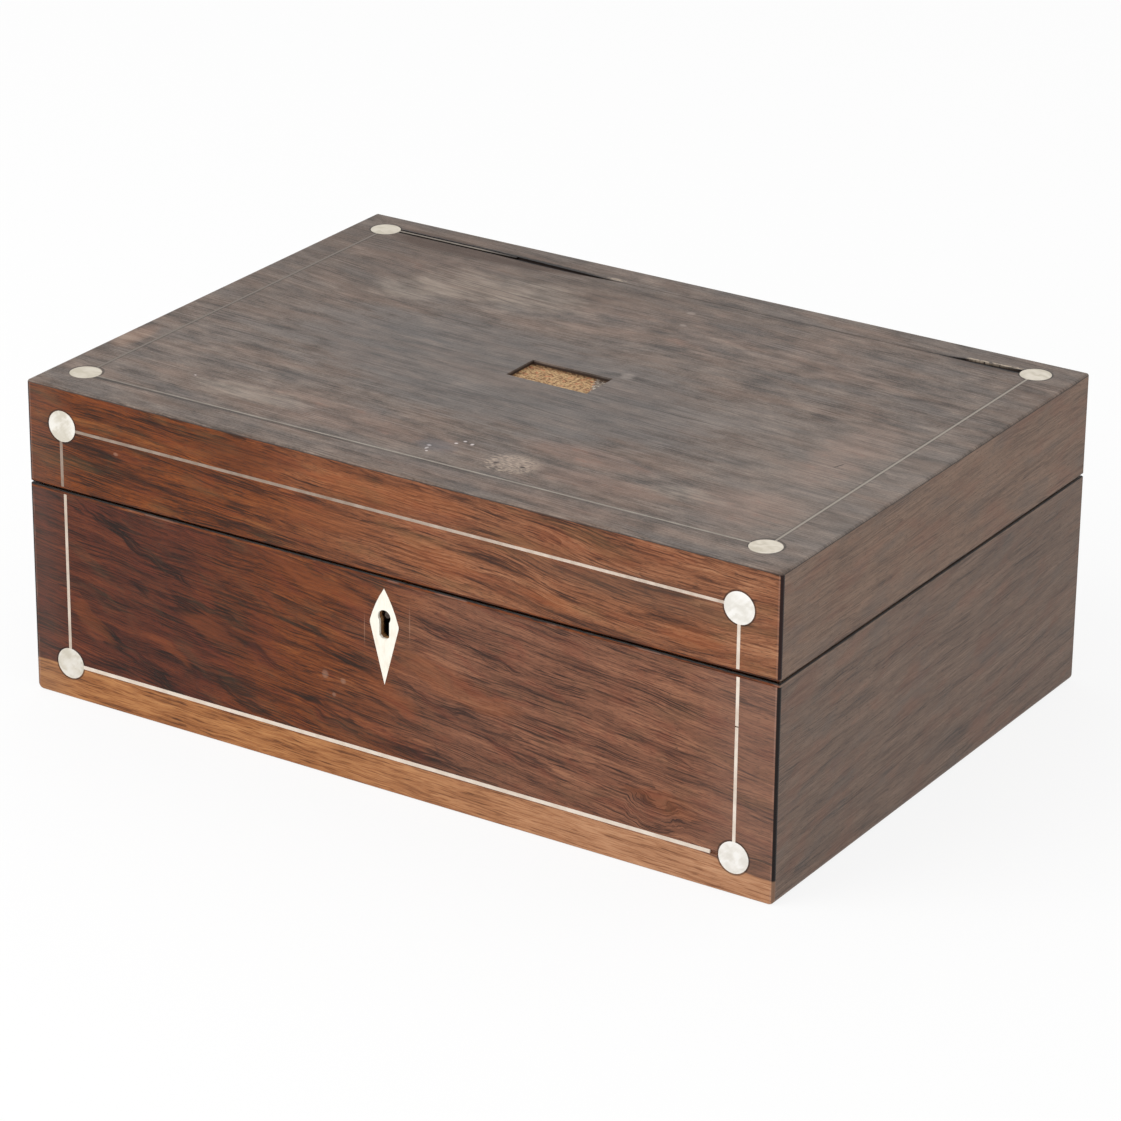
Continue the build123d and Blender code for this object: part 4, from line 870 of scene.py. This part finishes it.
# the silk swells between its stitches, which stay where they are, as does the card
start = [v.co.copy() for v in panel_mesh.vertices]
stitches = panel.vertex_groups.new(name="stitches")
stitches.add(sorted(held), 1.0, "REPLACE")
silk = panel.modifiers.new("silk", "CLOTH")
silk.settings.quality = 6
silk.settings.mass = 0.1
silk.settings.tension_stiffness = 20
silk.settings.bending_stiffness = 0.1
silk.settings.shrink_min = -0.05
silk.settings.use_pressure = True
silk.settings.uniform_pressure_force = 4.0
silk.settings.vertex_group_mass = "stitches"
silk.settings.effector_weights.gravity = 0
for number in range(1, settling_frames + 1):
    bpy.context.scene.frame_set(number)
swollen = panel.evaluated_get(bpy.context.evaluated_depsgraph_get()).data
reached = [v.co.copy() for v in swollen.vertices]
panel.modifiers.remove(silk)
for v, before, after in zip(panel_mesh.vertices, start, reached):
    moved = after - before
    moved.length = min(moved.length, most_give)
    v.co = before + moved
    v.co.z = min(max(v.co.z, lowest.z + silk_clearance), highest.z)
bpy.context.scene.frame_set(1)

for face in panel_mesh.polygons:
    face.use_smooth = True
rounding = panel.modifiers.new("rounding", "SUBSURF")
rounding.levels = rounding.render_levels = 1

material, (x, y, z) = start_finish("dark_red_silk")
warp_threads = streaks(y, x, 6.0, 0.25, 250.0, 1)
faded = streaks(x, y, 60, 40, 251.0, 3)
tone = fade(warp_threads * 0.3 + faded * 0.7, 0.38, 0.62)
colour = ramp(tone, (0.0, paint(104, 24, 34)), (0.5, paint(118, 31, 41)), (1.0, paint(134, 44, 52)))
panel_mesh.materials.append(close_finish(material, colour, 0.38, warp_threads, 0.04))
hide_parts("lid_pad")
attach(panel, "lid")

# ---------------------------------------------------------------- studio
# The box stands on a white sheet in soft light from all round, a little stronger from the upper left.
# The sheet shows almost white, and the world beyond it white, to the camera and in gloss.
sheet_reach = 4.0
plain_white = (1.0, 1.0, 1.0, 1.0)
paper_white = (0.92, 0.92, 0.92, 1.0)

sheet_shape = bmesh.new()
bmesh.ops.create_grid(sheet_shape, x_segments=1, y_segments=1, size=sheet_reach)
sheet_mesh = bpy.data.meshes.new("white_sheet")
sheet_shape.to_mesh(sheet_mesh)
sheet_shape.free()
floor = bpy.data.objects.new("white_sheet", sheet_mesh)
bpy.context.scene.collection.objects.link(floor)


def seen(tree):
    """1 where the camera looks, or a mirror or glass does, and 0 for the light that falls on things."""
    kinds = ("Is Camera Ray", "Is Glossy Ray", "Is Transmission Ray")
    rays = tree.nodes.new("ShaderNodeLightPath").outputs
    by_camera, by_mirror, by_glass = (Shade(tree, rays[kind]) for kind in kinds)
    return by_camera + by_mirror + by_glass


paper = bpy.data.materials.new("white_paper")
paper.use_nodes = True
tree = paper.node_tree
tree.nodes.clear()
lit = Shade(tree, None).node("BsdfDiffuse", {"Color": paper_white})
white = lit.node("Emission", {"Color": plain_white, "Strength": 1.0})
mixed = lit.node("MixShader", {0: seen(tree) * 0.85, 1: lit, 2: white})
tree.links.new(mixed.socket, tree.nodes.new("ShaderNodeOutputMaterial").inputs[0])
sheet_mesh.materials.append(paper)

world = bpy.data.worlds.new("studio")
world.use_nodes = True
tree = world.node_tree
tree.nodes.clear()
lit = Shade(tree, None).node("Background", {"Color": plain_white, "Strength": 0.8})
white = lit.node("Background", {"Color": plain_white, "Strength": 1.0})
mixed = lit.node("MixShader", {0: seen(tree), 1: lit, 2: white})
tree.links.new(mixed.socket, tree.nodes.new("ShaderNodeOutputWorld").inputs[0])
bpy.context.scene.world = world

lamp = bpy.data.lights.new("soft_box", "AREA")
lamp.shape = "SQUARE"
lamp.size = 1.2
lamp.energy = 14.0
soft_box = bpy.data.objects.new("soft_box", lamp)
soft_box.location = (-0.7, -1.1, 1.3)
towards_box = Vector((0, 0, 0.06)) - soft_box.location
soft_box.rotation_euler = towards_box.to_track_quat("-Z", "Y").to_euler()
bpy.context.scene.collection.objects.link(soft_box)

camera_place = Vector((0.812256, -1.273414, 0.697264))
azimuth = math.radians(32.515)
elevation = math.radians(23.286)
roll = math.radians(0.585)
back = Vector((
    math.sin(azimuth) * math.cos(elevation),
    -math.cos(azimuth) * math.cos(elevation),
    math.sin(elevation),
))
level = Vector((math.cos(azimuth), math.sin(azimuth), 0.0))
upward = back.cross(level)
right = level * math.cos(roll) + upward * math.sin(roll)
up = upward * math.cos(roll) - level * math.sin(roll)
lens = bpy.data.cameras.new("camera")
lens.sensor_width = 36.0
lens.lens = 150.8
camera = bpy.data.objects.new("camera", lens)
turn = Matrix((right, up, back)).transposed().to_4x4()
camera.matrix_world = Matrix.Translation(camera_place) @ turn
bpy.context.scene.collection.objects.link(camera)
bpy.context.scene.camera = camera

bpy.context.scene.view_settings.view_transform = "Standard"
